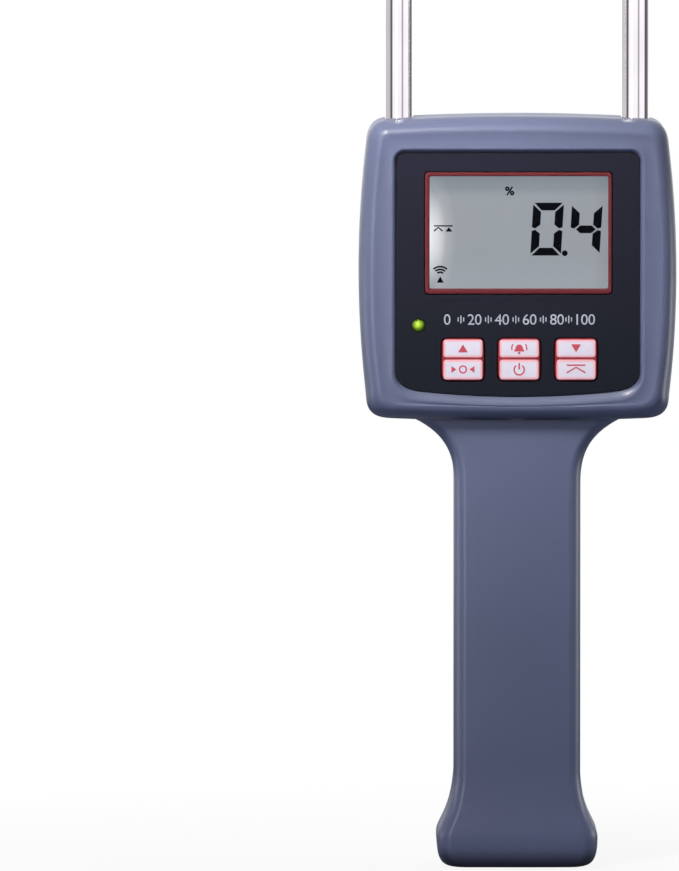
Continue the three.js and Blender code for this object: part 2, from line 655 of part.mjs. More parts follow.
place("probe_block", probeBlock(), MATERIALS.black);
for (const [side, x] of [["left", -PROBE.x], ["right", PROBE.x]]) {
  const blockScrewAt = [Math.sign(x) * BLOCK_SCREWS[1], BLOCK_SCREW_Z];
  place(`block_screw_${side}`, screw(blockScrewAt, BLOCK.front + 2.3, 14.2, 1.25, 2.6, 1.8, -1), MATERIALS.steel);
  place(`probe_tube_${side}`, probeTube(x), MATERIALS.steel);
  place(`probe_tip_${side}`, probeTip(x), MATERIALS.steel);
  place(`probe_stud_${side}`, probeStud(x), MATERIALS.steel);
  place(`probe_nut_${side}`, probeNut(x), MATERIALS.steel);
  place(`ring_terminal_${side}`, ringTerminal(x), MATERIALS.tinned);
  place(`probe_seal_${side}`, probeSeal(x), MATERIALS.rubber);
  place(`probe_lead_${side}`, probeLead(Math.sign(x)), side === "left" ? MATERIALS.blackLead : MATERIALS.redLead);
}

place("battery", battery(), MATERIALS.battery);
place("battery_snap", batterySnap(), MATERIALS.black);
place("battery_lead_black", batteryLead(-1), MATERIALS.blackLead);
place("battery_lead_red", batteryLead(1), MATERIALS.redLead);

export default meter;
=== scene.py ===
import math

import bmesh
import bpy
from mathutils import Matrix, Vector


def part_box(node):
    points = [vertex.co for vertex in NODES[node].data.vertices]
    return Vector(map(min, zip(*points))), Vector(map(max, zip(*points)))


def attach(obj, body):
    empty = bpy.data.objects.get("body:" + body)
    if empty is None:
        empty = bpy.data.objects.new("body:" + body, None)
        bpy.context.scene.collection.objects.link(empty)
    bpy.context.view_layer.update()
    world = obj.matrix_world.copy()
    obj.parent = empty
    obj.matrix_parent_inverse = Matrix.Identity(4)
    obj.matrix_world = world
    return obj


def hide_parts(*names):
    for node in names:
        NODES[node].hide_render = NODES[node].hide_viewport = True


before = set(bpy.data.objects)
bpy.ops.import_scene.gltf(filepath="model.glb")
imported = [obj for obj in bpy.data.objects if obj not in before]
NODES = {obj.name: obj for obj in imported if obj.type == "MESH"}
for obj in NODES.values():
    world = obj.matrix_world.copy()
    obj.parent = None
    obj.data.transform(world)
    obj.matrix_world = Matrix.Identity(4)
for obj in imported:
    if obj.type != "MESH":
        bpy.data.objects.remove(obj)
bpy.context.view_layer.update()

MM = 0.001

# ---------- Sizes, in millimetres ----------

HEAD_FRONT, HEAD_BACK = -17.5, 17.5
HEAD_WALL, HANDLE_WALL, DOOR_WALL = 2.0, 1.5, 1.6
HANDLE_FRONT, HANDLE_BACK = 13.3, 13.6
GRIP_HALF_WIDTH = 14.85
PARTING = 0.1  # each casing half stops this far from y = 0
HEAD_TOP, HEAD_FOOT, HEAD_HALF_WIDTH = 176.85, 105.15, 37.3
CROWN, SHOULDER, HIP, HEEL = (30.5, 175.95), (35.5, 170.1), (35.65, 111.35), (30.0, 105.8)
UPPER_CORNER = [SHOULDER, (35.2, 174.2), (33.5, 175.75), CROWN]  # cubic curves, each with its control points
LOWER_CORNER = [HEEL, (34.0, 106.0), (35.6, 107.45), HIP]
EDGE_ACROSS, EDGE_DEEP = 3.4, 6.0
PANEL_SEAT, PANEL_FRONT = -15.7, -16.5
PANEL_HALF_WIDTH, PANEL_TOP, PANEL_FOOT, PANEL_RADIUS = 28.6, 168.5, 111.05, 2.2
PANEL_SIDE_FOOT, PANEL_HEEL = 117.0, (23.1, 112.3)  # where its side and its arched foot end
QUARTER_ROUND = 0.448  # a quarter circle's control points, from its corner, in radii
LIP_ACROSS, LIP_BELOW, LIP_DEEP = 1.0, 2.0, 1.0  # the slope round the panel, wider along its foot
FRONT_WALL_BACK = -13.7
SCREW_SEAT = 8.0
CASE_SCREWS = [(-30.5, 145), (30.5, 145), (-29.4, 114.5), (29.4, 114.5), (0, 98), (0, 14)]
BOARD_SCREWS = [(-23.4, 115.6), (23.4, 115.6), (-22, 171.9), (22, 171.9)]
BLOCK_SCREWS = [(-12, 164.5), (12, 164.5)]
DOOR_FOOT, DOOR_TOP, DOOR_SIDE = 26.2, 91.8, 8.2
FRONT_BOSS, REAR_BOSS, BOARD_BOSS, BLOCK_BOSS = 2.4, 4.2, 2.1, 3.0  # radii of the posts round the screws
KEY_CAP, KEY_HOLE = (9.9, 9.85, 1.4), (10.5, 10.45, 1.6)  # width, height and corner radius
KEY_FLANGE = (11.4, 11.4, 1.2)
LAMP_RADIUS, LAMP_HOLE, LAMP_FLANGE = 1.5, 1.7, 1.95
PROBE_BORE, PROBE_HOLE_GAP = 2.3, 0.25
OPENING_FRONT, OPENING_BACK = -18, -12  # how deep the tools go that open the panel and the front wall
FAR = 60


def middle(node):
    """The centre of a CAD node's box, in millimetres."""
    low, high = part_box(node)
    return (low + high) / 2 / MM


def extent(node):
    """The size of a CAD node's box, in millimetres."""
    low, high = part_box(node)
    return (high - low) / MM


PROBE_X, PROBE_Y = middle("probe_tube_right").x, middle("probe_tube_right").y
PROBE_RADIUS = extent("probe_tube_right").x / 2
LAMP_X, LAMP_Z = middle("alarm_lamp").x, 127.86
KEY_Z = middle("zero_key").z
KEYS = {name: middle(name + "_key").x for name in ("zero", "power", "hold")}
SCREEN_X, SCREEN_Z = middle("display_bezel").x, middle("display_bezel").z
SCREEN_WIDTH, SCREEN_HEIGHT = 43.85, 28.55
GLASS_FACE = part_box("lcd_glass")[0].y / MM

# ---------- Curves ----------


def cubic(p0, p1, p2, p3, count):
    """count points of a cubic curve, without its last."""
    points = []
    for i in range(count):
        t = i / count
        weights = ((1 - t) ** 3, 3 * t * (1 - t) ** 2, 3 * t * t * (1 - t), t ** 3)
        points.append(tuple(sum(w * p[k] for w, p in zip(weights, (p0, p1, p2, p3))) for k in (0, 1)))
    return points


def arch(start, end, peak, count):
    """A curve from start to end whose middle passes through peak."""
    control = [2 * peak[k] - (start[k] + end[k]) / 2 for k in (0, 1)]
    first = [start[k] + (control[k] - start[k]) * 2 / 3 for k in (0, 1)]
    second = [end[k] + (control[k] - end[k]) * 2 / 3 for k in (0, 1)]
    return cubic(start, first, second, end, count)


def line(start, end, count):
    return [tuple(start[k] + (end[k] - start[k]) * i / count for k in (0, 1)) for i in range(count)]


def mirrored(p):
    return (-p[0], p[1])


EDGE_POINTS, CORNER_POINTS = 34, 14


def head_loop():
    """The head's outline from the front, counter-clockwise from the right end of its top edge."""
    left_upper, left_lower = [[mirrored(p) for p in reversed(c)] for c in (UPPER_CORNER, LOWER_CORNER)]
    waist = (HEAD_HALF_WIDTH, (SHOULDER[1] + HIP[1]) / 2)
    loop = arch(CROWN, left_upper[0], (0, HEAD_TOP), EDGE_POINTS)
    loop += cubic(*left_upper, CORNER_POINTS)
    loop += arch(left_upper[3], left_lower[0], mirrored(waist), EDGE_POINTS)
    loop += cubic(*left_lower, CORNER_POINTS)
    loop += arch(left_lower[3], HEEL, (0, HEAD_FOOT), EDGE_POINTS)
    loop += cubic(*LOWER_CORNER, CORNER_POINTS)
    loop += arch(HIP, SHOULDER, waist, EDGE_POINTS)
    loop += cubic(*UPPER_CORNER, CORNER_POINTS)
    return loop


def panel_loop(grow=0.0, below=None):
    """The sunk panel's outline, point for point with the head's. It can grow by another amount below."""
    below = grow if below is None else below
    width, top, foot = PANEL_HALF_WIDTH + grow, PANEL_TOP + grow, PANEL_FOOT - below
    radius, side = PANEL_RADIUS + max(grow, 0), PANEL_SIDE_FOOT
    corner = (PANEL_HEEL[0] + grow, PANEL_HEEL[1] - below)
    bend = radius * QUARTER_ROUND
    upper = [(width - radius, top), (width - bend, top), (width, top - bend), (width, top - radius)]
    lower = [(width, side), (width, side - 2.9), (width - 1.9, corner[1] + 0.5), corner]
    left_upper, left_lower = [mirrored(p) for p in upper], [mirrored(p) for p in lower]
    loop = line(upper[0], left_upper[0], EDGE_POINTS)
    loop += cubic(*left_upper, CORNER_POINTS)
    loop += line(left_upper[3], left_lower[0], EDGE_POINTS)
    loop += cubic(*left_lower, CORNER_POINTS)
    loop += arch(left_lower[3], lower[3], (0, foot), EDGE_POINTS)
    loop += cubic(*reversed(lower), CORNER_POINTS)
    loop += line(lower[0], upper[3], EDGE_POINTS)
    loop += cubic(*reversed(upper), CORNER_POINTS)
    return loop


def inset(loop, amounts):
    """The loop moved inwards by one amount, or by an amount for each of its points."""
    if not isinstance(amounts, (list, tuple)):
        amounts = [amounts] * len(loop)
    moved = []
    for i, (x, z) in enumerate(loop):
        (ax, az), (bx, bz) = loop[i - 1], loop[(i + 1) % len(loop)]
        tangent = Vector((bx - ax, bz - az)).normalized()
        moved.append((x - tangent.y * amounts[i], z + tangent.x * amounts[i]))
    return moved


def rounded(width, height, radius, steps=8, centre=(0, 0)):
    """A rounded rectangle, counter-clockwise from its right side."""
    points = []
    for quarter, (sx, sz) in enumerate(((1, 1), (-1, 1), (-1, -1), (1, -1))):
        for i in range(steps + 1):
            turn = (quarter + i / steps) * math.pi / 2
            x = sx * (width / 2 - radius) + radius * math.cos(turn)
            z = sz * (height / 2 - radius) + radius * math.sin(turn)
            points.append((x + centre[0], z + centre[1]))
    return points


def blend(first, second, share):
    """The loop that lies this share of the way from the first to the second."""
    return [tuple(a[k] + (b[k] - a[k]) * share for k in (0, 1)) for a, b in zip(first, second)]


def crest_loop(outline, across):
    """The outline moved inwards, its four corners redrawn as open curves so that they cannot fold."""
    crest = inset(outline, across)
    count = len(crest)
    for first in range(EDGE_POINTS, count, EDGE_POINTS + CORNER_POINTS):
        reach = 1 if crest[first][1] < 140 else 0
        start, end = first - reach, first + CORNER_POINTS + reach
        p0, p3 = Vector(crest[start]), Vector(crest[end % count])
        t0 = (p0 - Vector(crest[start - 1])).normalized()
        t3 = (p3 - Vector(crest[(end + 1) % count])).normalized()
        chord = p3 - p0
        turn = t0.x * t3.y - t0.y * t3.x
        leg0 = (chord.x * t3.y - chord.y * t3.x) / turn
        leg3 = (chord.x * t0.y - chord.y * t0.x) / turn
        p1, p2 = p0 + t0 * leg0 * 0.58, p3 + t3 * leg3 * 0.58
        corner = cubic(tuple(p0), tuple(p1), tuple(p2), tuple(p3), end - start)
        for i, point in enumerate(corner):
            crest[(start + i) % count] = point
    return crest


def circle(radius, count=32, centre=(0, 0)):
    turns = [2 * math.pi * i / count for i in range(count)]
    return [(centre[0] + radius * math.cos(t), centre[1] + radius * math.sin(t)) for t in turns]


def at(loop, depth):
    """An outline in x and z as a ring at y = depth, or at a depth for each point."""
    depths = depth if isinstance(depth, (list, tuple)) else [depth] * len(loop)
    return [(x, y, z) for (x, z), y in zip(loop, depths)]


def level(loop, height):
    """An outline in x and y as a ring at z = height."""
    return [(x, y, height) for x, y in loop]


def smooth_step(low, high, value):
    t = min(max((value - low) / (high - low), 0.0), 1.0)
    return t * t * (3 - 2 * t)


# ---------- Meshes ----------


def piece(name, points, faces, smooth=True):
    mesh = bpy.data.meshes.new(name)
    mesh.from_pydata([Vector(p) * MM for p in points], [], faces)
    work = bmesh.new()
    work.from_mesh(mesh)
    bmesh.ops.recalc_face_normals(work, faces=work.faces)
    work.to_mesh(mesh)
    work.free()
    obj = bpy.data.objects.new(name, mesh)
    bpy.context.scene.collection.objects.link(obj)
    if smooth:
        soften(obj)
    return obj


def soften(obj, angle=32):
    obj.data.shade_smooth()
    obj.data.set_sharp_from_angle(angle=math.radians(angle))


def loft(name, rings, closed=False):
    """Rings of equal length joined into one body, capped at its ends, or closed into a loop."""
    count, faces = len(rings[0]), []
    last = len(rings) if closed else len(rings) - 1
    for r in range(last):
        for i in range(count):
            a, b = r * count + i, r * count + (i + 1) % count
            up = ((r + 1) % len(rings) - r) * count
            faces.append((a, b, b + up, a + up))
    if not closed:
        faces.append(tuple(range(count)))
        faces.append(tuple(range((len(rings) - 1) * count, len(rings) * count)))
    return piece(name, [p for ring in rings for p in ring], faces)


def turned(name, profile, centre, axis="Z", segments=48, closed=False):
    """A profile of (radius, height) pairs turned about an axis. Radius 0 at either end makes a pole."""
    cx, cy, cz = centre
    points, rows, faces = [], [], []
    for radius, height in profile:
        count = 1 if radius == 0 else segments
        rows.append(range(len(points), len(points) + count))
        for turn in (2 * math.pi * i / segments for i in range(count)):
            across, along = radius * math.cos(turn), radius * math.sin(turn)
            if axis == "Z":
                points.append((cx + across, cy + along, cz + height))
            else:
                points.append((cx + across, cy + height, cz + along))
    pairs = list(zip(rows, rows[1:])) + ([(rows[-1], rows[0])] if closed else [])
    for low, high in pairs:
        for i in range(segments):
            j = (i + 1) % segments
            if len(low) == 1:
                faces.append((low[0], high[i], high[j]))
            elif len(high) == 1:
                faces.append((low[i], low[j], high[0]))
            else:
                faces.append((low[i], low[j], high[j], high[i]))
    return piece(name, points, faces)


def slab(name, loop, front, back):
    return loft(name, [at(loop, front), at(loop, back)])


def box(name, x, y, z):
    loop = [(x[1], z[0]), (x[1], z[1]), (x[0], z[1]), (x[0], z[0])]
    return slab(name, loop, *y)


def post(name, centre, radius, y0, y1, count=32):
    return slab(name, circle(radius, count, centre), y0, y1)


def carve(target, tools, operation="DIFFERENCE"):
    """Cuts or joins target with each tool, and removes the tools."""
    for tool in tools:
        modifier = target.modifiers.new("carve", "BOOLEAN")
        modifier.operation, modifier.solver, modifier.object = operation, "MANIFOLD", tool
    graph = bpy.context.evaluated_depsgraph_get()
    mesh = bpy.data.meshes.new_from_object(target.evaluated_get(graph))
    mesh.name = target.name
    target.modifiers.clear()
    target.data = mesh
    for tool in tools:
        bpy.data.objects.remove(tool)
    soften(target)
    return target


def merge(name, parts):
    """Separate small bodies as one piece."""
    work = bmesh.new()
    for part in parts:
        part.data.transform(part.matrix_world)
        work.from_mesh(part.data)
        bpy.data.objects.remove(part)
    mesh = bpy.data.meshes.new(name)
    work.to_mesh(mesh)
    work.free()
    obj = bpy.data.objects.new(name, mesh)
    bpy.context.scene.collection.objects.link(obj)
    soften(obj)
    return obj


def steady_shading(obj):
    """Keeps large flat faces flat beside curved ones."""
    modifier = obj.modifiers.new("weighted normals", "WEIGHTED_NORMAL")
    modifier.keep_sharp = True
    modifier.weight = 80


def finished(obj, body, look, slot, *nodes):
    """Gives a piece its material and body, and hides the CAD nodes that it stands for. The slot is not used.
    """
    obj.data.materials.clear()
    obj.data.materials.append(look)
    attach(obj, body)
    if nodes:
        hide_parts(*nodes)
    return obj


# ---------- Materials ----------


class Nodes:
    """A node tree, with short ways to add to it."""

    def __init__(self, tree):
        self.tree = tree

    def node(self, kind, **settings):
        made = self.tree.nodes.new("ShaderNode" + kind)
        for key, value in settings.items():
            if hasattr(made, key):
                setattr(made, key, value)
            else:
                made.inputs[key.replace("_", " ")].default_value = value
        return made

    def link(self, source, target):
        self.tree.links.new(source, target)

    def place(self):
        """Coordinates in metres, fixed to the piece."""
        return self.node("TexCoord").outputs["Object"]

    def scaled(self, scale, shift=(0, 0, 0)):
        """The place multiplied by a factor for each axis, then moved."""
        mapping = self.node("Mapping", Scale=scale, Location=shift)
        self.link(self.place(), mapping.inputs["Vector"])
        return mapping.outputs["Vector"]

    def axis(self, vector, name):
        parts = self.node("SeparateXYZ")
        self.link(vector, parts.inputs["Vector"])
        return parts.outputs[name]

    def maths(self, operation, *sources):
        made = self.node("Math", operation=operation)
        for socket, source in zip(made.inputs, sources):
            if isinstance(source, bpy.types.NodeSocket):
                self.link(source, socket)
            else:
                socket.default_value = source
        return made.outputs["Value"]

    def noise(self, scale, detail=3.0, roughness=0.5, where=None):
        made = self.node("TexNoise", Scale=scale, Detail=detail, Roughness=roughness)
        self.link(where or self.place(), made.inputs["Vector"])
        return made.outputs["Fac"]

    def ball(self, where):
        """1 at the origin, falling to 0 at a distance of 1."""
        made = self.node("TexGradient", gradient_type="SPHERICAL")
        self.link(where, made.inputs["Vector"])
        return made.outputs["Fac"]

    def ramp(self, source, stops, interpolation="LINEAR"):
        made = self.node("ValToRGB")
        made.color_ramp.interpolation = interpolation
        elements = made.color_ramp.elements
        while len(elements) < len(stops):
            elements.new(0.5)
        for element, (position, colour) in zip(elements, stops):
            element.position = position
            element.color = (*colour, 1.0)
        self.link(source, made.inputs["Fac"])
        return made.outputs["Color"]

    def mix(self, factor, first, second, blend="MIX"):
        made = self.node("Mix", data_type="RGBA", blend_type=blend)
        for index, source in ((0, factor), (6, first), (7, second)):
            if isinstance(source, bpy.types.NodeSocket):
                self.link(source, made.inputs[index])
            else:
                made.inputs[index].default_value = source if index == 0 else (*source, 1.0)
        return made.outputs[2]

    def spread(self, source, low, high):
        """The source's 0 to 1 as low to high."""
        made = self.node("MapRange", To_Min=low, To_Max=high)
        self.link(source, made.inputs["Value"])
        return made.outputs["Result"]

    def share(self, source, low, high):
        """0 where the source is low, 1 where it is high."""
        made = self.node("MapRange", From_Min=low, From_Max=high)
        self.link(source, made.inputs["Value"])
        return made.outputs["Result"]


class Look(Nodes):
    """A material with a Principled shader, whose even values are given by the names of its sockets."""

    def __init__(self, name, **sockets):
        self.material = bpy.data.materials.new(name)
        self.material.use_nodes = True
        super().__init__(self.material.node_tree)
        self.shader = self.tree.nodes["Principled BSDF"]
        for socket, value in sockets.items():
            self.shader.inputs[socket.replace("_", " ")].default_value = value

    def into(self, source, socket):
        self.link(source, self.shader.inputs[socket])

    def bump(self, height, strength, distance, round_edges=0.0):
        made = self.node("Bump", Strength=strength, Distance=distance)
        self.link(height, made.inputs["Height"])
        if round_edges:
            bevel = self.node("Bevel", samples=4, Radius=round_edges)
            self.link(bevel.outputs["Normal"], made.inputs["Normal"])
        self.into(made.outputs["Normal"], "Normal")


def srgb(red, green, blue):
    """A colour given as 0 to 255, in linear light."""
    def linear(value):
        value /= 255
        return value / 12.92 if value <= 0.04045 else ((value + 0.055) / 1.055) ** 2.4

    return tuple(linear(v) for v in (red, green, blue))


def grey(value):
    return (value, value, value)


def darker(colour, factor):
    return tuple(c * factor for c in colour)


def moulded(name, colour, roughness, grain=3500.0, grain_depth=0.5, edge_wear_and_highlight=0.18, painted_shade_reach=0.0):
    """Moulded plastic: fine grain, slow colour drift, handling marks, paler edges that are partly wear and
    partly a painted highlight, and painted shade in crevices.
    """
    look = Look(name, IOR=1.48, Specular_IOR_Level=0.42)
    drift = look.noise(26.0, 4.0)
    speck = look.noise(2400.0, 2.0)
    toned = look.ramp(drift, [(0.3, darker(colour, 0.94)), (0.7, darker(colour, 1.06))])
    fine = look.ramp(speck, [(0.35, grey(0.93)), (0.65, grey(1.0))])
    grained = look.mix(0.6, toned, fine, "MULTIPLY")
    # Paler edges, found by pointiness: partly wear and partly a painted highlight.
    edges = look.node("NewGeometry").outputs["Pointiness"]
    wear_and_edge_highlight = look.ramp(edges, [(0.505, grey(0)), (0.56, grey(edge_wear_and_highlight))])
    surface = look.mix(wear_and_edge_highlight, grained, darker(colour, 1.55))
    # Painted shade: ambient occlusion darkens crevices and the surfaces under overhangs, such as the handle's
    # neck below the head.
    if painted_shade_reach:
        near = look.node("AmbientOcclusion", samples=8, Distance=painted_shade_reach).outputs["AO"]
        shade = look.ramp(near, [(0.3, (0.1, 0.1, 0.11)), (0.62, (0.28, 0.28, 0.3)), (0.9, grey(1.0))])
        surface = look.mix(1.0, surface, shade, "MULTIPLY")
    look.into(surface, "Base Color")
    marks = look.noise(55.0, 6.0, 0.62)
    look.into(look.spread(marks, roughness - 0.07, roughness + 0.09), "Roughness")
    look.bump(look.noise(grain, 2.0), grain_depth, 0.00002, 0.00018)
    return look.material


def smooth_plastic(name, colour, roughness, **sockets):
    """Smooth moulded plastic with a faint flow texture."""
    look = Look(name, **sockets)
    drift = look.noise(90.0, 3.0)
    look.into(look.ramp(drift, [(0.3, darker(colour, 0.92)), (0.7, darker(colour, 1.05))]), "Base Color")
    look.into(look.spread(look.noise(240.0, 4.0), roughness * 0.8, roughness * 1.25), "Roughness")
    look.bump(look.noise(900.0, 2.0), 0.12, 0.00002, 0.00008)
    return look.material


def metal(name, colour, roughness, stretch=(60.0, 60.0, 4000.0), depth=0.05):
    """Bright metal with fine marks left by machining, stretched across one axis."""
    look = Look(name, Metallic=1.0)
    lines = look.noise(1.0, 3.0, where=look.scaled(stretch))
    look.into(look.ramp(lines, [(0.3, darker(colour, 0.95)), (0.7, colour)]), "Base Color")
    look.into(look.spread(look.noise(150.0, 5.0), roughness * 0.75, roughness * 1.4), "Roughness")
    look.bump(lines, depth, 0.00001)
    return look.material


def board_look():
    """Green solder mask over copper tracks, with a dark weave below it."""
    look = Look("board_mask", IOR=1.5, Coat_Weight=0.35, Coat_Roughness=0.15)
    cells = look.node("TexVoronoi", feature="DISTANCE_TO_EDGE", distance="MANHATTAN", Scale=1.0)
    look.link(look.scaled((420.0, 420.0, 420.0)), cells.inputs["Vector"])
    tracks = look.ramp(cells.outputs["Distance"], [(0.05, (0.05, 0.30, 0.13)), (0.09, (0.02, 0.15, 0.06))])
    look.into(look.mix(look.noise(300.0), tracks, (0.025, 0.20, 0.08)), "Base Color")
    look.into(look.spread(look.noise(500.0), 0.3, 0.5), "Roughness")
    look.bump(cells.outputs["Distance"], 0.2, 0.00003)
    return look.material


def probe_steel():
    """Polished stainless rod: long faint draw lines and a few rubbed patches."""
    look = Look("probe_steel", Metallic=1.0, Anisotropic=0.2)
    lines = look.noise(1.0, 2.0, where=look.scaled((9000.0, 9000.0, 30.0)))
    patches = look.noise(70.0, 5.0)
    colour = srgb(240, 236, 240)
    look.into(look.ramp(patches, [(0.3, darker(colour, 0.93)), (0.6, colour)]), "Base Color")
    look.into(look.spread(patches, 0.025, 0.06), "Roughness")
    look.bump(lines, 0.04, 0.000004)
    return look.material


def panel_look():
    """The printed panel: near-black ink under a satin film, with painted light making it a shade paler
    towards its top.
    """
    look = Look("panel_film", Specular_IOR_Level=0.06)
    grain = look.noise(1500.0, 2.0)
    # Painted light from above: the ink turns paler towards the panel's top.
    height = look.share(look.axis(look.place(), "Z"), 0.112, 0.169)
    ink = look.mix(height, srgb(28, 32, 42), srgb(37, 37, 52))
    speck = look.ramp(grain, [(0.35, grey(0.9)), (0.65, grey(1.0))])
    look.into(look.mix(0.5, ink, speck, "MULTIPLY"), "Base Color")
    look.into(look.spread(look.noise(70.0, 5.0), 0.3, 0.42), "Roughness")
    look.bump(grain, 0.08, 0.00001, 0.0001)
    return look.material


def glow_between(look, centre, radii):
    """1 at a point in millimetres, falling to 0 on the ellipsoid with these radii."""
    scale = [1 / (radius * MM) for radius in radii]
    shift = [-c * MM * s for c, s in zip(centre, scale)]
    return look.ball(look.scaled(scale, shift))


def liquid_crystal_look():
    """Grey reflective glass with painted shade at its top and right edge, most of its brightness emitted as
    backlight and painted light, and light leaking in from the lamp at its left edge.
    """
    look = Look("lcd_face", Roughness=0.35, Specular_IOR_Level=0.1, Emission_Strength=1.0)
    reflected, backlight_and_painted_light = 0.16, 0.80
    where = look.place()
    foot, middle_tone = srgb(158, 165, 173), srgb(154, 160, 168)
    upper, top = srgb(150, 157, 165), srgb(142, 149, 158)
    # Painted shade: the face darkens towards its top, where the bezel shades it.
    shaded = look.ramp(look.share(look.axis(where, "Z"), 136.2 * MM, 163.0 * MM), [
        (0.0, foot), (0.3, middle_tone), (0.8, middle_tone), (0.92, upper), (1.0, top)])
    # Painted shade: the face darkens towards its right edge.
    right = look.share(look.axis(where, "X"), 17.5 * MM, 21.5 * MM)
    side = look.ramp(right, [(0.0, grey(1.0)), (1.0, grey(0.88))])
    cloud = look.mix(look.noise(120.0, 4.0), grey(0.97), grey(1.02))
    face = look.mix(1.0, look.mix(1.0, shaded, cloud, "MULTIPLY"), side, "MULTIPLY")
    leak = look.ramp(glow_between(look, (-22.3, GLASS_FACE, 148.6), (8.0, 8.0, 17.0)), [
        (0.0, grey(0)), (0.3, grey(0.12)), (0.55, grey(0.55)), (0.85, grey(1))])
    look.into(look.mix(1.0, face, grey(reflected), "MULTIPLY"), "Base Color")
    # Most of the face's brightness is emitted: backlight and painted light together.
    backlight_and_painted_glow = look.mix(1.0, face, grey(backlight_and_painted_light), "MULTIPLY")
    look.into(look.mix(leak, backlight_and_painted_glow, (0.96, 0.96, 0.98)), "Emission Color")
    look.bump(look.noise(2500.0), 0.02, 0.00001)
    return look.material


def key_face_look():
    """White key print with a pink rim where the red border shows, its whole colour also emitted as a faint
    painted glow.
    """
    # Painted glow: the key print's colour is also emitted.
    look = Look("key_face", Roughness=0.45, Specular_IOR_Level=0.15, Emission_Strength=0.08)
    where = look.node("TexCoord").outputs["Generated"]

    def edge(axis, band):
        fold = look.maths("PINGPONG", look.axis(where, axis), 0.5)
        return look.ramp(fold, [(0.0, grey(1)), (band, grey(0))], "EASE")

    border = look.mix(1.0, edge("X", 0.09), edge("Z", 0.19), "LIGHTEN")
    print_colour = look.mix(look.noise(600.0), srgb(214, 210, 230), srgb(204, 202, 222))
    face = look.mix(border, print_colour, srgb(228, 160, 172))
    look.into(face, "Base Color")
    look.into(face, "Emission Color")
    look.bump(look.noise(1800.0), 0.05, 0.00001)
    return look.material


def lamp_look():
    """A lit lamp: yellow-green, brightest at its middle."""
    look = Look("lamp_lens", Roughness=0.3, Specular_IOR_Level=0.2, Emission_Strength=0.22)
    core = glow_between(look, (LAMP_X - 0.1, -16.6, LAMP_Z + 0.1), (1.9, 3.0, 1.9))
    face = look.ramp(core, [(0.0, srgb(44, 66, 26)), (0.4, srgb(96, 132, 36)), (0.9, srgb(176, 214, 60))])
    look.into(face, "Base Color")
    look.into(face, "Emission Color")
    look.bump(look.noise(800.0), 0.03, 0.00001)
    return look.material


def clear_look(name, colour, alpha, roughness):
    """Thin clear plastic with faint smears."""
    look = Look(name, Alpha=alpha, IOR=1.45)
    look.into(look.ramp(look.noise(60.0), [(0.3, darker(colour, 0.97)), (0.7, colour)]), "Base Color")
    look.into(look.spread(look.noise(90.0, 5.0), roughness * 0.6, roughness * 1.6), "Roughness")
    return look.material


def battery_look():
    """A block battery's printed jacket: a dark sleeve, a pale band near the top and a crimped metal end."""
    look = Look("battery_jacket", Metallic=0.35)
    height = look.share(look.axis(look.place(), "Z"), 0.0305, 0.0790)
    bands = look.ramp(height, [
        (0.0, (0.55, 0.55, 0.56)), (0.03, (0.02, 0.022, 0.03)), (0.66, (0.62, 0.38, 0.06)),
        (0.94, (0.5, 0.5, 0.52))], "CONSTANT")
    scuffs = look.ramp(look.noise(400.0, 6.0, 0.7), [(0.35, grey(0.8)), (0.6, grey(1.0))])
    look.into(look.mix(1.0, bands, scuffs, "MULTIPLY"), "Base Color")
    look.into(look.spread(look.noise(200.0, 4.0), 0.22, 0.42), "Roughness")
    look.bump(look.noise(700.0), 0.05, 0.00002, 0.0001)
    return look.material


# The casing's painted shade reaches 8 mm from other surfaces.
CASING = moulded("casing_plastic", srgb(95, 103, 136), 0.34, painted_shade_reach=0.008)
PANEL = panel_look()
RED = smooth_plastic("red_bezel", srgb(98, 34, 42), 0.42, Specular_IOR_Level=0.2)
PRINT = smooth_plastic("panel_print", srgb(172, 181, 200), 0.5, Specular_IOR_Level=0.2)
LEGEND = smooth_plastic("key_print", srgb(196, 80, 98), 0.5, Specular_IOR_Level=0.1)
KEY_BODY = smooth_plastic("key_border", srgb(150, 46, 58), 0.45, Specular_IOR_Level=0.15)
KEY_FACE = key_face_look()
LAMP = lamp_look()
LCD = liquid_crystal_look()
LCD_INK = smooth_plastic("lcd_ink", srgb(2, 4, 9), 0.45, Specular_IOR_Level=0.02)
WINDOW = clear_look("display_window", srgb(60, 64, 70), 0.012, 0.08)
STEEL = probe_steel()
HARDWARE = metal("plated_screws", srgb(196, 197, 202), 0.26)
TINNED = metal("tinned_parts", srgb(205, 205, 206), 0.34, (500.0, 500.0, 500.0), 0.12)
BRIGHT_BRASS = metal("battery_contacts", srgb(214, 196, 150), 0.3, (800.0, 800.0, 800.0))
WHITE = smooth_plastic("white_plastic", srgb(226, 226, 220), 0.45)
BLACK = smooth_plastic("black_plastic", srgb(30, 30, 33), 0.48)
BOARD = board_look()
RUBBER = moulded("rubber", srgb(38, 38, 40), 0.85, 1500.0, 0.5, 0.05)
FOAM = moulded("foam", srgb(52, 52, 54), 0.95, 900.0, 1.0, 0.0)
BATTERY = battery_look()
RED_LEAD = smooth_plastic("red_lead", srgb(170, 28, 24), 0.42)
BLACK_LEAD = smooth_plastic("black_lead", srgb(24, 24, 26), 0.42)

# ---------- The two casing halves ----------


def edge_profile(steps):
    """(inset share, depth share) pairs from the flat face to the side of a rounded edge."""
    turns = [math.pi / 2 * i / steps for i in range(steps + 1)]
    return [(1 - math.sin(t), 1 - math.cos(t)) for t in turns]


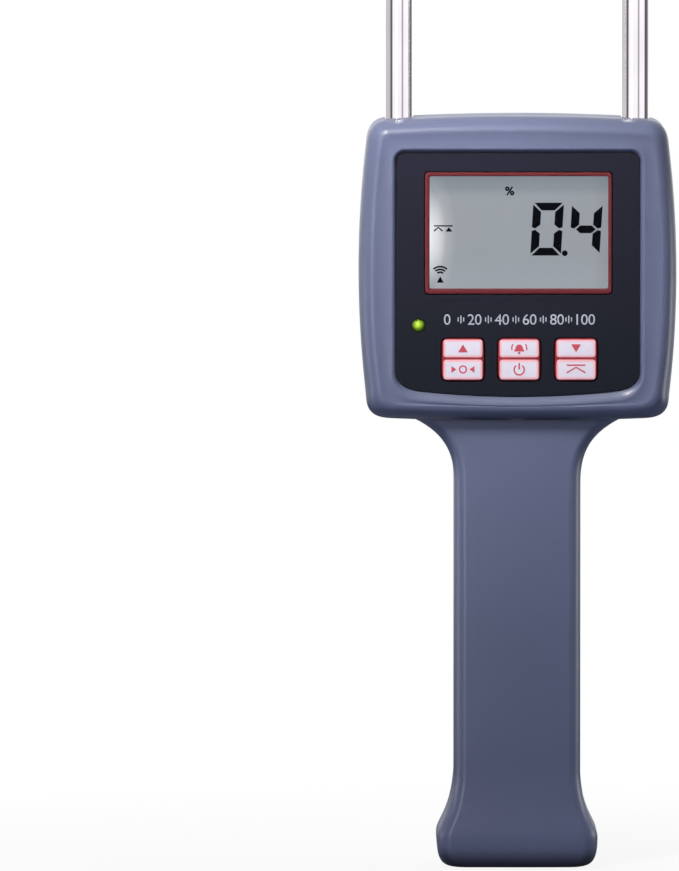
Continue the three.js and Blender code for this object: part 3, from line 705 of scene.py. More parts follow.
def head_solid(name):
    outline = head_loop()
    low = [1 - smooth_step(112.0, 124.0, z) for x, z in outline]  # 1 along the bottom edge
    deep = [EDGE_DEEP + 1.2 * w for w in low]
    crest = crest_loop(outline, [EDGE_ACROSS + 0.2 * w for w in low])
    back_crest = crest_loop(outline, [EDGE_ACROSS] * len(outline))
    rings = []
    for share, depth in edge_profile(12):
        rings.append(at(blend(outline, back_crest, share), HEAD_BACK - EDGE_DEEP * depth))
    for y, cut in ((0.5, 0.0), (0.3, 0.12), (0.12, 0.3), (-0.12, 0.3), (-0.3, 0.12), (-0.5, 0.0)):
        rings.append(at(inset(outline, cut), y))
    for share, depth in reversed(edge_profile(14)):
        rings.append(at(blend(outline, crest, share), [HEAD_FRONT + d * depth for d in deep]))
    lip_edge = panel_loop(LIP_ACROSS, LIP_BELOW)
    for i in range(1, 9):
        share = i / 8
        dish = 0.5 * share * (1 - share)
        rings.append(at(blend(crest, lip_edge, share), HEAD_FRONT + dish))
    for i in range(1, 9):
        share = 1 - i / 8
        fall = 0.2 * (1 - share) + 0.8 * (1 - share) ** 2
        rings.append(at(panel_loop(LIP_ACROSS * share, LIP_BELOW * share), HEAD_FRONT + LIP_DEEP * fall))
    rings.append(at(panel_loop(), PANEL_SEAT))
    return loft(name, rings)


FOOT_CORNER = [(14.6, 0.0), (18.3, 0.0), (18.95, 2.5), (18.95, 7.0)]
FLARE = [(18.95, 7.0), (18.9, 10.0), (15.5, 11.6), (14.85, 22.0)]
NECK = [(14.85, 90.5), (14.85, 97.8), (17.1, 102.5), (25.8, 106.3)]


def handle_levels(foot, flare, neck):
    """(half-width, height) pairs from the flat foot to the top, which is hidden inside the head."""
    levels = cubic(*FOOT_CORNER, foot) + cubic(*FLARE, flare) + [FLARE[3]]
    return levels + cubic(*NECK, neck) + [NECK[3], (NECK[3][0], 109.0)]


SWELL, FOOT_DRAW = 0.2, 0.35  # how much of the flare and of the foot's rounding also goes front to back


def handle_depth(grip, half_width, z):
    if z < FLARE[0][1]:
        return grip + SWELL * (FLARE[0][0] - GRIP_HALF_WIDTH) - FOOT_DRAW * (FLARE[0][0] - half_width)
    return grip + SWELL * (half_width - GRIP_HALF_WIDTH) if z < FLARE[3][1] else grip


def handle_ring(half_width, z, wall, steps, crown):
    """A rounded rectangle seen from above, its front and back faces slightly crowned."""
    front = handle_depth(HANDLE_FRONT, half_width, z) - wall
    back = handle_depth(HANDLE_BACK, half_width, z) - wall
    half_width -= wall
    across = max(2.9 + 0.17 * (half_width + wall - GRIP_HALF_WIDTH) - wall, 0.8)
    deep, ring = across + 1.2, []
    flat = half_width - across
    corners = ((1, 1, back), (-1, 1, back), (-1, -1, front), (1, -1, front))
    for quarter, (sx, sy, depth) in enumerate(corners):
        for i in range(steps + 1):
            turn = (quarter + i / steps) * math.pi / 2
            x, y = sx * flat + across * math.cos(turn), sy * (depth - deep) + deep * math.sin(turn)
            ring.append((x, y - sy * crown, max(z, wall)))
        if quarter in (0, 2):
            for share in (0.6, 0.3, 0.0, -0.3, -0.6):
                ring.append((sx * flat * share, sy * (depth - crown * share ** 2), max(z, wall)))
    return ring


def handle_solid(name, wall=0.0, fine=True):
    levels = handle_levels(*((14, 14, 16) if fine else (4, 5, 6)))
    kept = [p for i, p in enumerate(levels) if i == 0 or p[1] > wall]
    steps, crown = (10, 0.25) if fine else (3, 0.0)
    return loft(name, [handle_ring(w, z, wall, steps, crown) for w, z in kept])


def handle_groove(name):
    """A wedge round the handle's silhouette, which cuts the groove between the casing halves."""
    side = [(w, z) for w, z in handle_levels(14, 14, 16) if z < 106]
    path = list(reversed(side)) + [mirrored(p) for p in side]
    rings = []
    for i, (x, z) in enumerate(path):
        (ax, az), (bx, bz) = path[max(i - 1, 0)], path[min(i + 1, len(path) - 1)]
        out = Vector((-(bz - az), bx - ax)).normalized()
        reach = ((1.0, -0.85), (1.0, 0.85), (-0.3, 0.12), (-0.3, -0.12))
        rings.append([(x + out.x * r, y, z + out.y * r) for r, y in reach])
    return loft(name, rings)


def cavity_tools():
    outline = head_loop()
    rings = []
    for share, depth in edge_profile(3):
        rings.append(at(inset(outline, HEAD_WALL + 1.6 * share), HEAD_BACK - HEAD_WALL - 3.0 * depth))
    for share, depth in reversed(edge_profile(3)):
        rings.append(at(inset(outline, HEAD_WALL + 1.6 * share), HEAD_FRONT + HEAD_WALL + 3.0 * depth))
    return [loft("head_cavity", rings), handle_solid("handle_cavity", HANDLE_WALL, fine=False)]


def probe_hole_tools():
    tools = []
    for x in (-PROBE_X, PROBE_X):
        radius = PROBE_RADIUS + PROBE_HOLE_GAP
        profile = [(0, 170), (4.6, 170), (4.6, 174.0), (radius, 174.0), (radius, 180), (0, 180)]
        tools.append(turned("probe_hole", profile, (x, PROBE_Y, 0), segments=40))
    return tools


def key_opening_tools():
    loops = [rounded(*KEY_HOLE, 8, (x, KEY_Z)) for x in KEYS.values()]
    return [slab("key_hole", loop, OPENING_FRONT, OPENING_BACK) for loop in loops]


def screen_loop(grow, radius=0.9):
    return rounded(SCREEN_WIDTH + 2 * grow, SCREEN_HEIGHT + 2 * grow, radius, 8, (SCREEN_X, SCREEN_Z))


def outer_body(name):
    body = carve(head_solid(name), [handle_solid("handle")], "UNION")
    return carve(body, [handle_groove("groove")])


def front_casing():
    body = carve(outer_body("casing_front"), cavity_tools())
    seat_loop = inset(panel_loop(), -1.6)
    inside = [slab("seat", seat_loop, PANEL_SEAT - 0.05, FRONT_WALL_BACK)]
    inside += [post("boss", p, FRONT_BOSS, -16.0, -0.15, 20) for p in CASE_SCREWS[:4]]
    inside += [post("boss", p, FRONT_BOSS, -12.6, -0.15, 20) for p in CASE_SCREWS[4:]]
    inside += [post("boss", p, BOARD_BOSS, -14.5, -7.15, 20) for p in BOARD_SCREWS]
    inside += [box("rib", (-12.6, 12.6), (-12.4, -8.5), (z, z + 1.4)) for z in (36, 70)]
    inside.append(box("shelf", (-12.6, 12.6), (-12.4, -PARTING), (28.4, 30.2)))
    carve(body, inside, "UNION")
    tools = [slab("screen_hole", screen_loop(0.2), OPENING_FRONT, OPENING_BACK)] + key_opening_tools()
    tools.append(post("lamp_hole", (LAMP_X, LAMP_Z), LAMP_HOLE, OPENING_FRONT, OPENING_BACK))
    tools += [post("pilot", p, 1.4, -9.2, 0, 16) for p in CASE_SCREWS]
    tools += [post("pilot", p, 1.0, -12.6, -6, 16) for p in BOARD_SCREWS]
    tools += probe_hole_tools()
    tools.append(box("rear", (-80, 80), (-PARTING, 60), (-20, 220)))
    return carve(body, tools)


def door_box(name, gap):
    return box(name, (-FAR, FAR), (DOOR_SIDE - gap, FAR), (DOOR_FOOT - gap, DOOR_TOP + gap))


def counterbore(centre):
    """A screw's sunk hole, its mouth eased."""
    x, z = centre
    half_width = 17.0 if z < 20 else 15.0
    back = HEAD_BACK if z > HEAD_FOOT else handle_depth(HANDLE_BACK, half_width, z)
    profile = [(0, SCREW_SEAT), (2.9, SCREW_SEAT), (2.9, back - 0.35)]
    profile += [(3.25, back), (3.25, back + 3), (0, back + 3)]
    return turned("counterbore", profile, (x, 0, z), "Y", 36)


def rear_casing():
    body = carve(outer_body("casing_rear"), cavity_tools())
    inside = [post("boss", p, REAR_BOSS, 0.15, 16.0, 24) for p in CASE_SCREWS[:4]]
    inside += [post("boss", p, REAR_BOSS, 0.15, 12.8, 24) for p in CASE_SCREWS[4:]]
    inside += [post("boss", p, BLOCK_BOSS, 6.1, 16.0, 24) for p in BLOCK_SCREWS]
    inside.append(box("shelf", (-14.2, 14.2), (PARTING, 7.4), (28.4, 30.2)))
    carve(body, inside, "UNION")
    tools = [door_box("door_hole", 0.3)]
    tools += [post("screw_hole", p, 1.6, 0, 9, 20) for p in CASE_SCREWS]
    tools += [counterbore(p) for p in CASE_SCREWS]
    tools += [post("screw_hole", p, 1.4, 5.8, 13.5, 20) for p in BLOCK_SCREWS]
    tools += probe_hole_tools()
    tools.append(box("front", (-80, 80), (-60, PARTING), (-20, 220)))
    return carve(body, tools)


def battery_door():
    """The door, with its hooks, stiffening ribs and a field of thumb ridges near its upper end."""
    body = carve(handle_solid("door"), [door_box("door_region", 0.0)], "INTERSECT")
    carve(body, [handle_solid("door_inside", DOOR_WALL, fine=False)])
    added = []
    for x in (-7, 7):
        added.append(box("hook", (x - 2.5, x + 2.5), (10.6, 11.7), (23.2, 29)))
        added.append(box("hook_root", (x - 2.5, x + 2.5), (10.61, 12.4), (27, 28.9)))
    added += [box("rib", (x - 0.6, x + 0.6), (10.4, 12.4), (34, 84)) for x in (-9.6, 9.6)]
    carve(body, added, "UNION")
    hollow = turned("thumb_rest", [(0, -1.2), (9.5, -1.2), (11.5, 0.0), (12.0, 1.0), (0, 1.0)],
                    (0, HANDLE_BACK + 0.35, 80), "Y", 64)
    ridges = []
    for i in range(5):
        z = 74.4 + i * 2.8
        reach = 7.6 - abs(i - 2) * 1.5
        loop = rounded(2 * reach, 1.3, 0.6, 6, (0, z))
        rings = [at(loop, 12.3), at(loop, 13.0), at(inset(loop, 0.2), 13.25), at(inset(loop, 0.45), 13.35)]
        ridges.append(loft("ridge", rings))
    carve(body, [hollow])
    return carve(body, ridges, "UNION")


def make_casing():
    for make_half, side in ((front_casing, "front"), (rear_casing, "rear")):
        body = make_half()
        body.name = "casing_" + side
        steady_shading(body)
        finished(body, "housing", CASING, "casing", side + "_casing")
        body.visible_glossy = False  # the probes would mirror the arched top as a wedge at their feet
    door = battery_door()
    door.name = "door_shell"
    steady_shading(door)
    finished(door, "battery_door", CASING, "casing", "battery_door")


# ---------- Panel, display and lamp ----------


def make_panel():
    edge = ((-0.15, 0.7), (-0.15, 0.15), (-0.2, 0.05), (-0.3, 0.0))  # growth, and depth behind the front
    body = loft("panel", [at(panel_loop(grow), PANEL_FRONT + depth) for grow, depth in edge])
    tools = [slab("screen_hole", screen_loop(0.2), OPENING_FRONT, OPENING_BACK)] + key_opening_tools()
    tools.append(post("lamp_hole", (LAMP_X, LAMP_Z), LAMP_HOLE, OPENING_FRONT, OPENING_BACK, 40))
    carve(body, tools)
    steady_shading(body)
    finished(body, "housing", PANEL, "panel", "panel_overlay")


def make_bezel():
    """The red surround: a rim that shows, with eased edges, on a flange behind the panel."""
    def opening(ease):
        centre = (SCREEN_X + 0.15, SCREEN_Z + 0.1)
        return rounded(SCREEN_WIDTH - 1.9 + 2 * ease, SCREEN_HEIGHT - 2.06 + 2 * ease, 0.5 + ease, 8, centre)

    front = PANEL_FRONT
    flange_front, flange_back = -13.55, -12.95
    rings = [at(opening(0.0), flange_back), at(opening(0.0), front + 0.18), at(opening(0.08), front + 0.04)]
    rings += [at(opening(0.2), front), at(screen_loop(-0.2, 0.7), front)]
    rings.append(at(screen_loop(-0.07, 0.83), front + 0.04))
    rings += [at(screen_loop(0.0), front + 0.18), at(screen_loop(0.0), flange_front)]
    rings += [at(screen_loop(1.6, 1.2), flange_front), at(screen_loop(1.6, 1.2), flange_back)]
    finished(loft("bezel", rings, closed=True), "housing", RED, "red_bezel", "display_bezel")


SEGMENTS = {"0": "abcdef", "4": "bcfg"}


def segment_polygons(character, centre, width, height, stroke, lean):
    """The lit segments of a seven-segment digit, as mitred polygons in x and z."""
    w, h, s, gap = width / 2, height / 2, stroke, stroke * 0.08
    upright = {"f": (-1, 1), "b": (1, 1), "e": (-1, -1), "c": (1, -1)}
    shapes = []
    for name in SEGMENTS[character]:
        if name in "ad":
            sign = 1 if name == "a" else -1
            shape = [(-w + gap * 2, sign * h), (w - gap * 2, sign * h),
                     (w - s * 1.05 - gap, sign * (h - s)), (-w + s * 1.05 + gap, sign * (h - s))]
        elif name == "g":
            shape = [(-w + s * 0.7, 0), (-w + s * 1.25, s / 2), (w - s * 1.25, s / 2),
                     (w - s * 0.7, 0), (w - s * 1.25, -s / 2), (-w + s * 1.25, -s / 2)]
        else:
            sx, sz = upright[name]
            outer, inner = sx * w, sx * (w - s * 1.08)
            shape = [(outer, sz * (h - gap * 3)), (outer, sz * (gap * 3)),
                     (outer - sx * s * 0.45, sz * gap * 1.2), (inner, sz * (s * 0.5 + gap)),
                     (inner, sz * (h - s * 1.05 - gap * 2))]
        shapes.append([(x + z * lean + centre[0], z + centre[1]) for x, z in shape])
    return shapes


def stroke_polygon(points, width):
    """A line through the points, made width thick."""
    left, right = [], []
    for i, (x, z) in enumerate(points):
        (ax, az), (bx, bz) = points[max(i - 1, 0)], points[min(i + 1, len(points) - 1)]
        across = Vector((-(bz - az), bx - ax)).normalized() * width / 2
        left.append((x + across.x, z + across.y))
        right.append((x - across.x, z - across.y))
    return left + right[::-1]


def arc(centre, radius, start, end, count=20):
    turns = [math.radians(start + (end - start) * i / count) for i in range(count + 1)]
    return [(centre[0] + radius * math.cos(t), centre[1] + radius * math.sin(t)) for t in turns]


def ring_polygons(centre, radius, width):
    """A full ring as two half strokes."""
    return [stroke_polygon(arc(centre, radius, s, s + 180.5), width) for s in (0, 180)]


def printed(name, shapes, front, thick):
    """Flat shapes in x and z as one thin raised print."""
    return merge(name, [slab("print", shape, front, front + thick) for shape in shapes])


def make_display():
    shapes = segment_polygons("0", (6.89, 150.35), 7.2, 12.4, 1.8, 0.058)
    shapes += segment_polygons("4", (15.97, 150.3), 7.2, 11.9, 1.8, 0.064)
    shapes.append(circle(0.68, 20, (11.04, 144.70)))
    x, z = -1.9, 159.33
    shapes.append(stroke_polygon([(x - 0.65, z - 1.0), (x + 0.65, z + 1.0)], 0.36))
    for sx, sz in ((-0.56, 0.5), (0.56, -0.5)):
        shapes += ring_polygons((x + sx, z + sz), 0.34, 0.4)
    x, z = -17.47, 150.49  # peak held: a line over a peak and a marker
    shapes.append(stroke_polygon([(x - 2.2, z - 0.6), (x - 1.2, z + 0.25), (x - 0.2, z - 0.6)], 0.34))
    shapes.append([(x + 0.5, z - 0.72), (x + 2.1, z - 0.72), (x + 1.3, z + 0.3)])
    shapes.append(stroke_polygon([(x - 2.2, z + 0.62), (x + 2.2, z + 0.62)], 0.3))
    x, z = -18.2, 139.24  # alarm: a sounding mark
    for radius in (1.0, 1.65, 2.3):
        shapes.append(stroke_polygon(arc((x, z), radius, 47, 133), 0.4))
    shapes.append([(x - 0.82, z - 1.48), (x + 0.82, z - 1.48), (x, z)])
    ink = printed("lcd_segments", shapes, GLASS_FACE - 0.06, 0.05)
    finished(ink, "housing", LCD_INK, "lcd_glass")


def lettered(text, centre, cap_height, front, thick):
    """Digits from the plain built-in font, as a thin raised print centred on a point in x and z."""
    curve = bpy.data.curves.new("text", "FONT")
    curve.body, curve.align_x = text, "CENTER"
    curve.extrude, curve.resolution_u = 0.5, 3
    holder = bpy.data.objects.new("text", curve)
    bpy.context.scene.collection.objects.link(holder)
    mesh = bpy.data.meshes.new_from_object(holder.evaluated_get(bpy.context.evaluated_depsgraph_get()))
    bpy.data.objects.remove(holder)
    low, high = min(v.co.y for v in mesh.vertices), max(v.co.y for v in mesh.vertices)
    scale = cap_height / (high - low)
    for vertex in mesh.vertices:
        x, y, z = vertex.co
        across, up = x * scale + centre[0], (y - (low + high) / 2) * scale + centre[1]
        vertex.co = Vector((across, front + (0.5 - z) * thick, up)) * MM
    made = bpy.data.objects.new("text", mesh)
    bpy.context.scene.collection.objects.link(made)
    return made


def make_panel_print():
    """A plain numbered scale where the real panel carries its printed words."""
    front, thick = PANEL_FRONT - 0.03, 0.05
    centre_z, first, last = 129.29, -16.6, 15.6
    marks = ("0", "20", "40", "60", "80", "100")
    step = (last - first) / (len(marks) - 1)
    pitch, parts = 1.7, []
    for i, mark in enumerate(marks):
        for k, digit in enumerate(mark):
            x = first + i * step + (k - (len(mark) - 1) / 2) * pitch
            parts.append(lettered(digit, (x, centre_z), 2.5, front, thick))
    for i in range(len(marks) - 1):
        crowding = 0.07 if i == len(marks) - 2 else 0.0
        for share, tall in ((0.4, 0.5), (0.5, 0.9), (0.6, 0.5)):
            x = first + (i + share - crowding) * step
            tick = stroke_polygon([(x, centre_z - tall), (x, centre_z + tall)], 0.26)
            parts.append(slab("tick", tick, front, front + thick))
    finished(merge("panel_scale", parts), "housing", PRINT, "panel")


def make_lamp():
    tip, dome_foot, flange_front, flange_back, legs_end = -17.0, -15.4, -12.6, -11.6, -7.1
    profile, steps = [(0, tip)], 10
    for i in range(1, steps + 1):
        turn = math.pi / 2 * i / steps
        profile.append((LAMP_RADIUS * math.sin(turn), dome_foot - 1.6 * math.cos(turn)))
    profile += [(LAMP_RADIUS, flange_front), (LAMP_FLANGE, flange_front), (LAMP_FLANGE, flange_back)]
    profile.append((0, flange_back))
    body = turned("lamp_lens", profile, (LAMP_X, 0, LAMP_Z), "Y", 40)
    side, legs = (LAMP_X - 0.25, LAMP_X + 0.25), []
    for z in (LAMP_Z - 0.9, LAMP_Z + 0.4):
        legs.append(box("leg", side, (flange_back - 0.2, legs_end), (z, z + 0.5)))
    carve(body, legs, "UNION")
    finished(body, "housing", LAMP, "lamp", "alarm_lamp")


# ---------- Keys ----------


def key_symbols(name, x):
    """Plain marks: step up and zero, alarm and power, step down and peak hold."""
    upper, lower = KEY_Z + 2.65, KEY_Z - 2.3
    if name == "zero":
        shapes = [[(x - 1.15, upper - 0.95), (x + 1.15, upper - 0.95), (x, upper + 0.95)]]
        shapes += ring_polygons((x, lower), 0.8, 0.36)
        for side in (-1, 1):
            base, point = x + side * 2.7, x + side * 1.5
            shapes.append([(base, lower - 0.8), (base, lower + 0.8), (point, lower)])
    elif name == "power":
        dome = arc((x, upper + 0.05), 0.85, 0, 180)
        shapes = [dome + [(x - 1.25, upper - 0.75), (x + 1.25, upper - 0.75)]]
        shapes.append(circle(0.3, 16, (x, upper - 1.1)))
        shapes += [stroke_polygon(arc((x, upper), 1.75, s, s + 50), 0.3) for s in (-15, 145)]
        shapes.append(stroke_polygon(arc((x, lower - 0.1), 1.2, 125, 415), 0.36))
        shapes.append(stroke_polygon([(x, lower), (x, lower + 1.5)], 0.38))
    else:
        shapes = [[(x - 1.15, upper + 0.95), (x, upper - 0.95), (x + 1.15, upper + 0.95)]]
        peak = [(x - 2.2, lower - 0.8), (x, lower + 0.5), (x + 2.2, lower - 0.8)]
        shapes.append(stroke_polygon(peak, 0.36))
        shapes.append(stroke_polygon([(x - 2.2, lower + 1.0), (x + 2.2, lower + 1.0)], 0.36))
    return shapes


def pillow(name, width, height, radius, centre, front, back, ease):
    """A flat-faced pad with eased front edges."""
    rings = [at(rounded(width, height, radius, 8, centre), back)]
    for share, depth in reversed(edge_profile(5)):
        cut = ease * share
        loop = rounded(width - 2 * cut, height - 2 * cut, radius - cut * 0.5, 8, centre)
        rings.append(at(loop, front + ease * depth))
    return loft(name, rings)


def make_key(name, x):
    body_name = name + "_key"
    cap = pillow(name + "_cap", *KEY_CAP, (x, KEY_Z), -16.9, -13.3, 0.4)
    flange = slab("flange", rounded(*KEY_FLANGE, 6, (x, KEY_Z)), -13.5, -12.8)
    stem = post("stem", (x, KEY_Z), 1.6, -13.0, -11.7)
    carve(cap, [flange, stem], "UNION")
    finished(cap, body_name, KEY_BODY, "key_cap", body_name)
    for part, (z, height) in {"upper": (KEY_Z + 2.6, 4.2), "lower": (KEY_Z - 2.35, 4.7)}.items():
        pad = pillow(f"{name}_face_{part}", 9.2, height, 0.7, (x, z), -17.0, -16.85, 0.12)
        finished(pad, body_name, KEY_FACE, "key_cap")
    marks = printed(name + "_marks", key_symbols(name, x), -17.02, 0.03)
    finished(marks, body_name, LEGEND, "key_cap")


# ---------- Probes ----------


def make_probe(side, x):
    """A drawn tube and its ground point, with a hairline joint between them."""
    low, high = [v.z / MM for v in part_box("probe_tube_" + side)]
    radius = PROBE_RADIUS
    tube = [(PROBE_BORE, low), (radius - 0.15, low), (radius, low + 0.3)]
    tube += [(radius, high - 0.1), (radius - 0.1, high), (PROBE_BORE, high)]
    body = turned("tube_" + side, tube, (x, PROBE_Y, 0), segments=96, closed=True)
    soften(body, 18)
    finished(body, "housing", STEEL, "probe_steel", "probe_tube_" + side)
    foot, top = high + 0.1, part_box("probe_tip_" + side)[1].z / MM
    tip = [(0, foot - 10), (2.1, foot - 10), (2.1, foot)]  # the plug inside the tube
    tip += [(radius - 0.1, foot), (radius, foot + 0.15), (radius, foot + 0.8)]
    for i in range(1, 9):  # the ground cone starts with a soft shoulder
        share = i / 8
        tip.append((radius - 0.5 * share ** 1.6, foot + 0.8 + 2.4 * share))
    tip += [(0.45, top - 0.55), (0.25, top - 0.15), (0, top)]
    point = turned("point_" + side, tip, (x, PROBE_Y, 0), segments=96)
    finished(point, "housing", STEEL, "probe_steel", "probe_tip_" + side)


# ---------- Screws ----------


def make_case_screws():
    """Pan-head screws with a cross recess, seen at the bottom of their sunk holes."""
    seat = SCREW_SEAT + 0.1
    shank = [(0, seat - 16), (0.5, seat - 15.6), (1.25, seat - 14), (1.25, seat)]
    head = [(2.3, seat), (2.5, seat + 0.2), (2.5, seat + 0.8), (2.3, seat + 1.4)]
    head += [(1.8, seat + 1.85), (1.1, seat + 2.0), (0, seat + 2.0)]
    long_half, short_half = 1.45, 0.32
    for i, (x, z) in enumerate(CASE_SCREWS, 1):
        body = turned(f"screw_{i}", shank + head, (x, 0, z), "Y", 32)
        arms = []
        for dx, dz in ((long_half, short_half), (short_half, long_half)):
            mouth = rounded(2 * dx, 2 * dz, 0.15, 2, (x, z))
            width, height = (1.1 * dx, 1.6 * dz) if dx > dz else (1.6 * dx, 1.1 * dz)
            floor = rounded(width, height, 0.1, 2, (x, z))
            arms.append(loft("arm", [at(mouth, seat + 2.4), at(mouth, seat + 2.0), at(floor, seat + 0.9)]))
        carve(body, [carve(arms[0], [arms[1]], "UNION")])
        finished(body, "housing", HARDWARE, "hardware_steel", f"case_screw_{i}")


# ---------- Battery ----------


def make_battery():
    """A block battery: a jacket with rolled ends, an insulating top and two press-stud contacts."""
    low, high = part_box("battery")
    foot, top = low.z / MM, 76.9
    mid_y = (low.y + high.y) / 2 / MM
    width, depth = (high.x - low.x) / MM, (high.y - low.y) / MM

    def section(shrink, radius):
        return rounded(width - 2 * shrink, depth - 2 * shrink, radius, 8, (0, mid_y))

    steps = [(0.9, 1.2, foot), (0.3, 1.7, foot), (0.0, 2.0, foot + 0.4), (0.0, 2.0, foot + 1.2)]
    steps += [(0.12, 2.0, foot + 1.35), (0.12, 2.0, top - 1.5), (0.0, 2.0, top - 1.35), (0.0, 2.0, top - 0.4)]
    steps += [(0.3, 1.7, top), (0.9, 1.2, top), (0.95, 1.2, top - 0.35), (1.6, 1.0, top - 0.4)]
    body = loft("battery_jacket", [level(section(shrink, radius), z) for shrink, radius, z in steps])
    finished(body, "housing", BATTERY, "battery_can", "battery")
    positive = [(0, -0.45), (2.9, -0.45), (2.9, 1.6), (2.6, 2.1), (1.9, 2.1), (1.8, 0.6), (0, 0.6)]
    negative = [(0, -0.45), (3.6, -0.45), (3.6, 0.3), (3.9, 1.7)]
    negative += [(3.6, 2.1), (3.2, 1.9), (2.6, 0.5), (0, 0.5)]
    half_pitch, studs = 6.35, []
    for stud, x, sides in ((positive, half_pitch, 32), (negative, -half_pitch, 12)):
        profile = [(radius, top + height) for radius, height in stud]
        studs.append(turned("stud", profile, (x, mid_y, 0), segments=sides))
    finished(merge("battery_studs", studs), "housing", BRIGHT_BRASS, "tinned_metal")


# ---------- CAD nodes that keep their shape ----------

KEPT_BY_LOOK = (
    (WINDOW, ("display_window",)),
    (LCD, ("lcd_glass",)),
    (BOARD, ("circuit_board",)),
    (FOAM, ("door_foam_pad",)),
    (BLACK_LEAD, ("battery_lead_black", "probe_lead_left")),
    (RED_LEAD, ("battery_lead_red", "probe_lead_right")),
    (RUBBER, ("zebra_strip", "probe_seal_left", "probe_seal_right")),
    (TINNED, ("crystal", "ring_terminal_left", "ring_terminal_right")),
    (BLACK, ("lcd_holder", "controller_chip", "buzzer", "capacitor", "probe_block", "battery_snap",
             *(key + "_switch" for key in KEYS))),
    (WHITE, ("backlight_panel", "backlight_led", "probe_socket", "battery_socket",
             *(key + "_plunger" for key in KEYS))),
    (HARDWARE, (*(f"board_screw_{i}" for i in range(1, 5)),
                *(f"{part}_{side}" for part in ("block_screw", "probe_stud", "probe_nut")
                  for side in ("left", "right")))),
)
# Widths of the eased edges, in millimetres
EASED = {
    "lcd_holder": 0.3, "controller_chip": 0.15, "buzzer": 0.3, "capacitor": 0.3, "probe_socket": 0.2,
    "battery_socket": 0.2, "probe_block": 0.35, "battery_snap": 0.3, "door_foam_pad": 0.5,
    "backlight_panel": 0.2, "backlight_led": 0.2, "display_window": 0.1}


def dress_kept_nodes():
    for look, names in KEPT_BY_LOOK:
        for name in names:
            node = NODES[name]
            node.data.materials.clear()
            node.data.materials.append(look)
            if name in EASED:
                modifier = node.modifiers.new("eased edges", "BEVEL")
                modifier.width = EASED[name] * MM
                modifier.segments = 2
                modifier.limit_method = "ANGLE"
                modifier.angle_limit = math.radians(40)


# ---------- Camera, lights, floor ----------


def make_camera():
    """A long lens in front of the meter, tilted down a little and turned left, so the meter stands right."""
    tilt, lens, sensor, seen_height = math.radians(3.2), 600.0, 36.0, 0.2054
    distance = seen_height * lens / sensor
    standpoint_x, target = -0.05, Vector((-0.04182, 0.0, 0.10111))
    camera = bpy.data.objects.new("camera", bpy.data.cameras.new("camera"))
    bpy.context.scene.collection.objects.link(camera)
    camera.data.lens, camera.data.sensor_width = lens, sensor
    camera.data.clip_start, camera.data.clip_end = 0.1, 50.0
    camera.location = (standpoint_x, -distance * math.cos(tilt), target.z + distance * math.sin(tilt))
    camera.rotation_euler = (target - camera.location).to_track_quat("-Z", "Y").to_euler()
    bpy.context.scene.camera = camera


def area_light(name, location, aim, size, power, colour=(1.0, 1.0, 1.0), spread=180):
    """A soft rectangular light. A spread below 180 degrees narrows its beam."""
    data = bpy.data.lights.new(name, "AREA")
    data.shape = "RECTANGLE"
    data.size, data.size_y = size
    data.energy, data.color, data.spread = power, colour, math.radians(spread)
    light = bpy.data.objects.new(name, data)
    bpy.context.scene.collection.objects.link(light)
    light.location = location
    light.rotation_euler = (Vector(aim) - Vector(location)).to_track_quat("-Z", "Y").to_euler()
    light.visible_camera = False


# The studio's brightness by bearing in degrees: 0 is towards the viewer, and it grows to the right.
CARDS = [
    (-180, 0.74), (-95, 0.66), (-80, 0.60), (-72, 0.14), (-60, 0.12), (-52, 1.15), (18, 1.15), (25, 0.42),
    (31, 0.42), (38, 1.15), (80, 1.15), (87, 0.12), (112, 0.14), (126, 0.5), (150, 0.85), (180, 0.95)]


def make_world():
    """A white studio. Its tall dark and grey cards show only in the polished probes."""
    world = bpy.data.worlds.new("studio")
    bpy.context.scene.world = world
    world.use_nodes = True
    studio = Nodes(world.node_tree)
    where = studio.node("TexCoord").outputs["Generated"]
    height = studio.axis(where, "Z")
    towards = studio.maths("MULTIPLY", studio.axis(where, "Y"), -1.0)
    bearing = studio.maths("ARCTAN2", studio.axis(where, "X"), towards)
    stops = [((degrees + 180) / 360, (value, value * 0.985, value)) for degrees, value in CARDS]
    cards = studio.ramp(studio.share(bearing, -math.pi, math.pi), stops)
    mirrored_light = studio.mix(studio.share(height, 0.05, 0.12), cards, (0.58, 0.58, 0.6))
    fill_stops = [(0.3, (0.03, 0.035, 0.05)), (1.0, (0.10, 0.12, 0.17))]
    fill = studio.ramp(studio.share(height, -1.0, 1.0), fill_stops)
    rays = studio.node("LightPath").outputs
    lit = studio.mix(rays["Is Glossy Ray"], fill, mirrored_light)
    seen = studio.mix(rays["Is Camera Ray"], lit, grey(1.0))
    studio.link(seen, studio.tree.nodes["Background"].inputs["Color"])


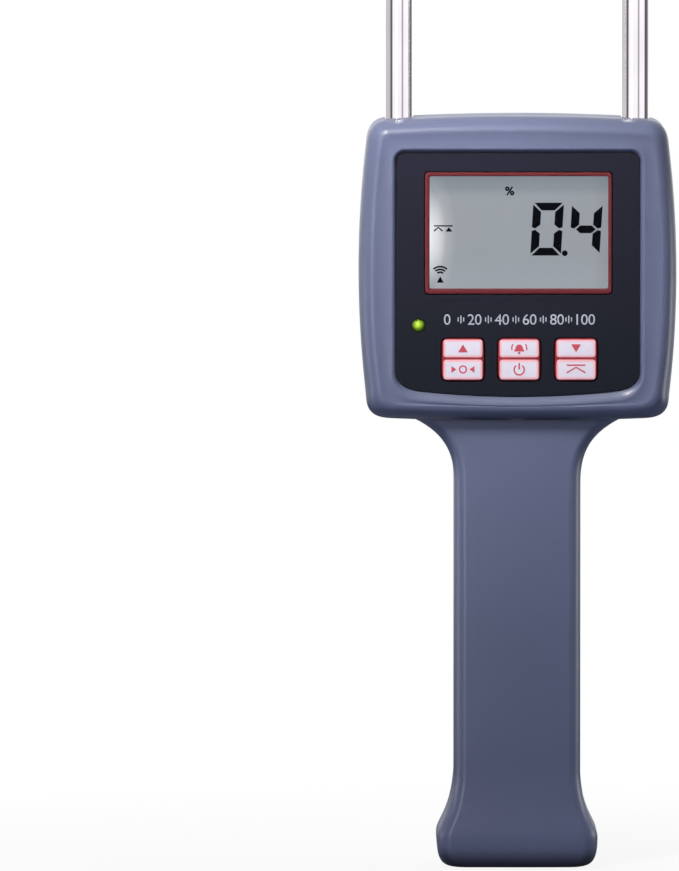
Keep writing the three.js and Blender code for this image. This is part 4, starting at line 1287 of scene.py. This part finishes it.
def make_floor():
    """A white disc that takes a faint shadow close to the meter and fades into the backdrop."""
    floor = turned("floor", [(0, 0), (300, 0), (900, 0)], (0, 0, -0.6), segments=96)
    material = bpy.data.materials.new("floor")
    material.use_nodes = True
    paint = Nodes(material.node_tree)
    paint.tree.nodes.remove(paint.tree.nodes["Principled BSDF"])
    seen = paint.node("LightPath").outputs["Is Camera Ray"]
    matt = paint.node("BsdfDiffuse")
    paint.link(paint.mix(seen, (0.38, 0.39, 0.44), grey(0.93)), matt.inputs["Color"])
    near = paint.ball(paint.scaled((4.0, 4.0, 4.0)))
    white = paint.ramp(near, [(0.0, grey(1.0)), (1.0, grey(0.9))])
    both = paint.node("MixShader")
    paint.link(paint.maths("MULTIPLY", seen, white), both.inputs["Fac"])
    paint.link(matt.outputs["BSDF"], both.inputs[1])
    paint.link(paint.node("Emission").outputs["Emission"], both.inputs[2])
    paint.link(both.outputs["Shader"], paint.tree.nodes["Material Output"].inputs["Surface"])
    floor.data.materials.append(material)


def make_stage():
    make_camera()
    make_world()
    make_floor()
    head, warm, tall = (0.0, 0.0, 0.12), (1.0, 0.945, 0.82), (0.16, 0.24)
    area_light("key", (-0.11, -0.21, 0.37), (-0.005, 0.0, 0.157), (0.08, 0.08), 0.118, warm, 46)
    area_light("crest", (0.0, -0.45, 0.36), (0.0, 0.0, 0.14), (0.40, 0.05), 0.13)
    area_light("strip", (-0.22, -0.50, 0.12), head, (0.05, 0.26), 0.65)
    area_light("left rim", (-0.42, 0.10, 0.01), (0.0, 0.0, 0.02), tall, 0.03, spread=50)
    area_light("right rim", (0.40, 0.14, 0.03), (0.0, 0.0, 0.08), tall, 0.56)
    for side in (-1, 1):
        area_light("foot", (side * 0.40, -0.04, 0.03), (0.0, 0.0, 0.0), (0.05, 0.05), 0.002, spread=40)
    area_light("behind", (0.0, 0.70, 0.27), head, (1.0, 0.3), 0.6)
    bpy.context.scene.view_settings.view_transform = "Standard"


make_stage()
make_casing()
make_panel()
make_bezel()
make_display()
make_panel_print()
make_lamp()
for key_name, key_x in KEYS.items():
    make_key(key_name, key_x)
make_probe("left", -PROBE_X)
make_probe("right", PROBE_X)
make_case_screws()
make_battery()
dress_kept_nodes()
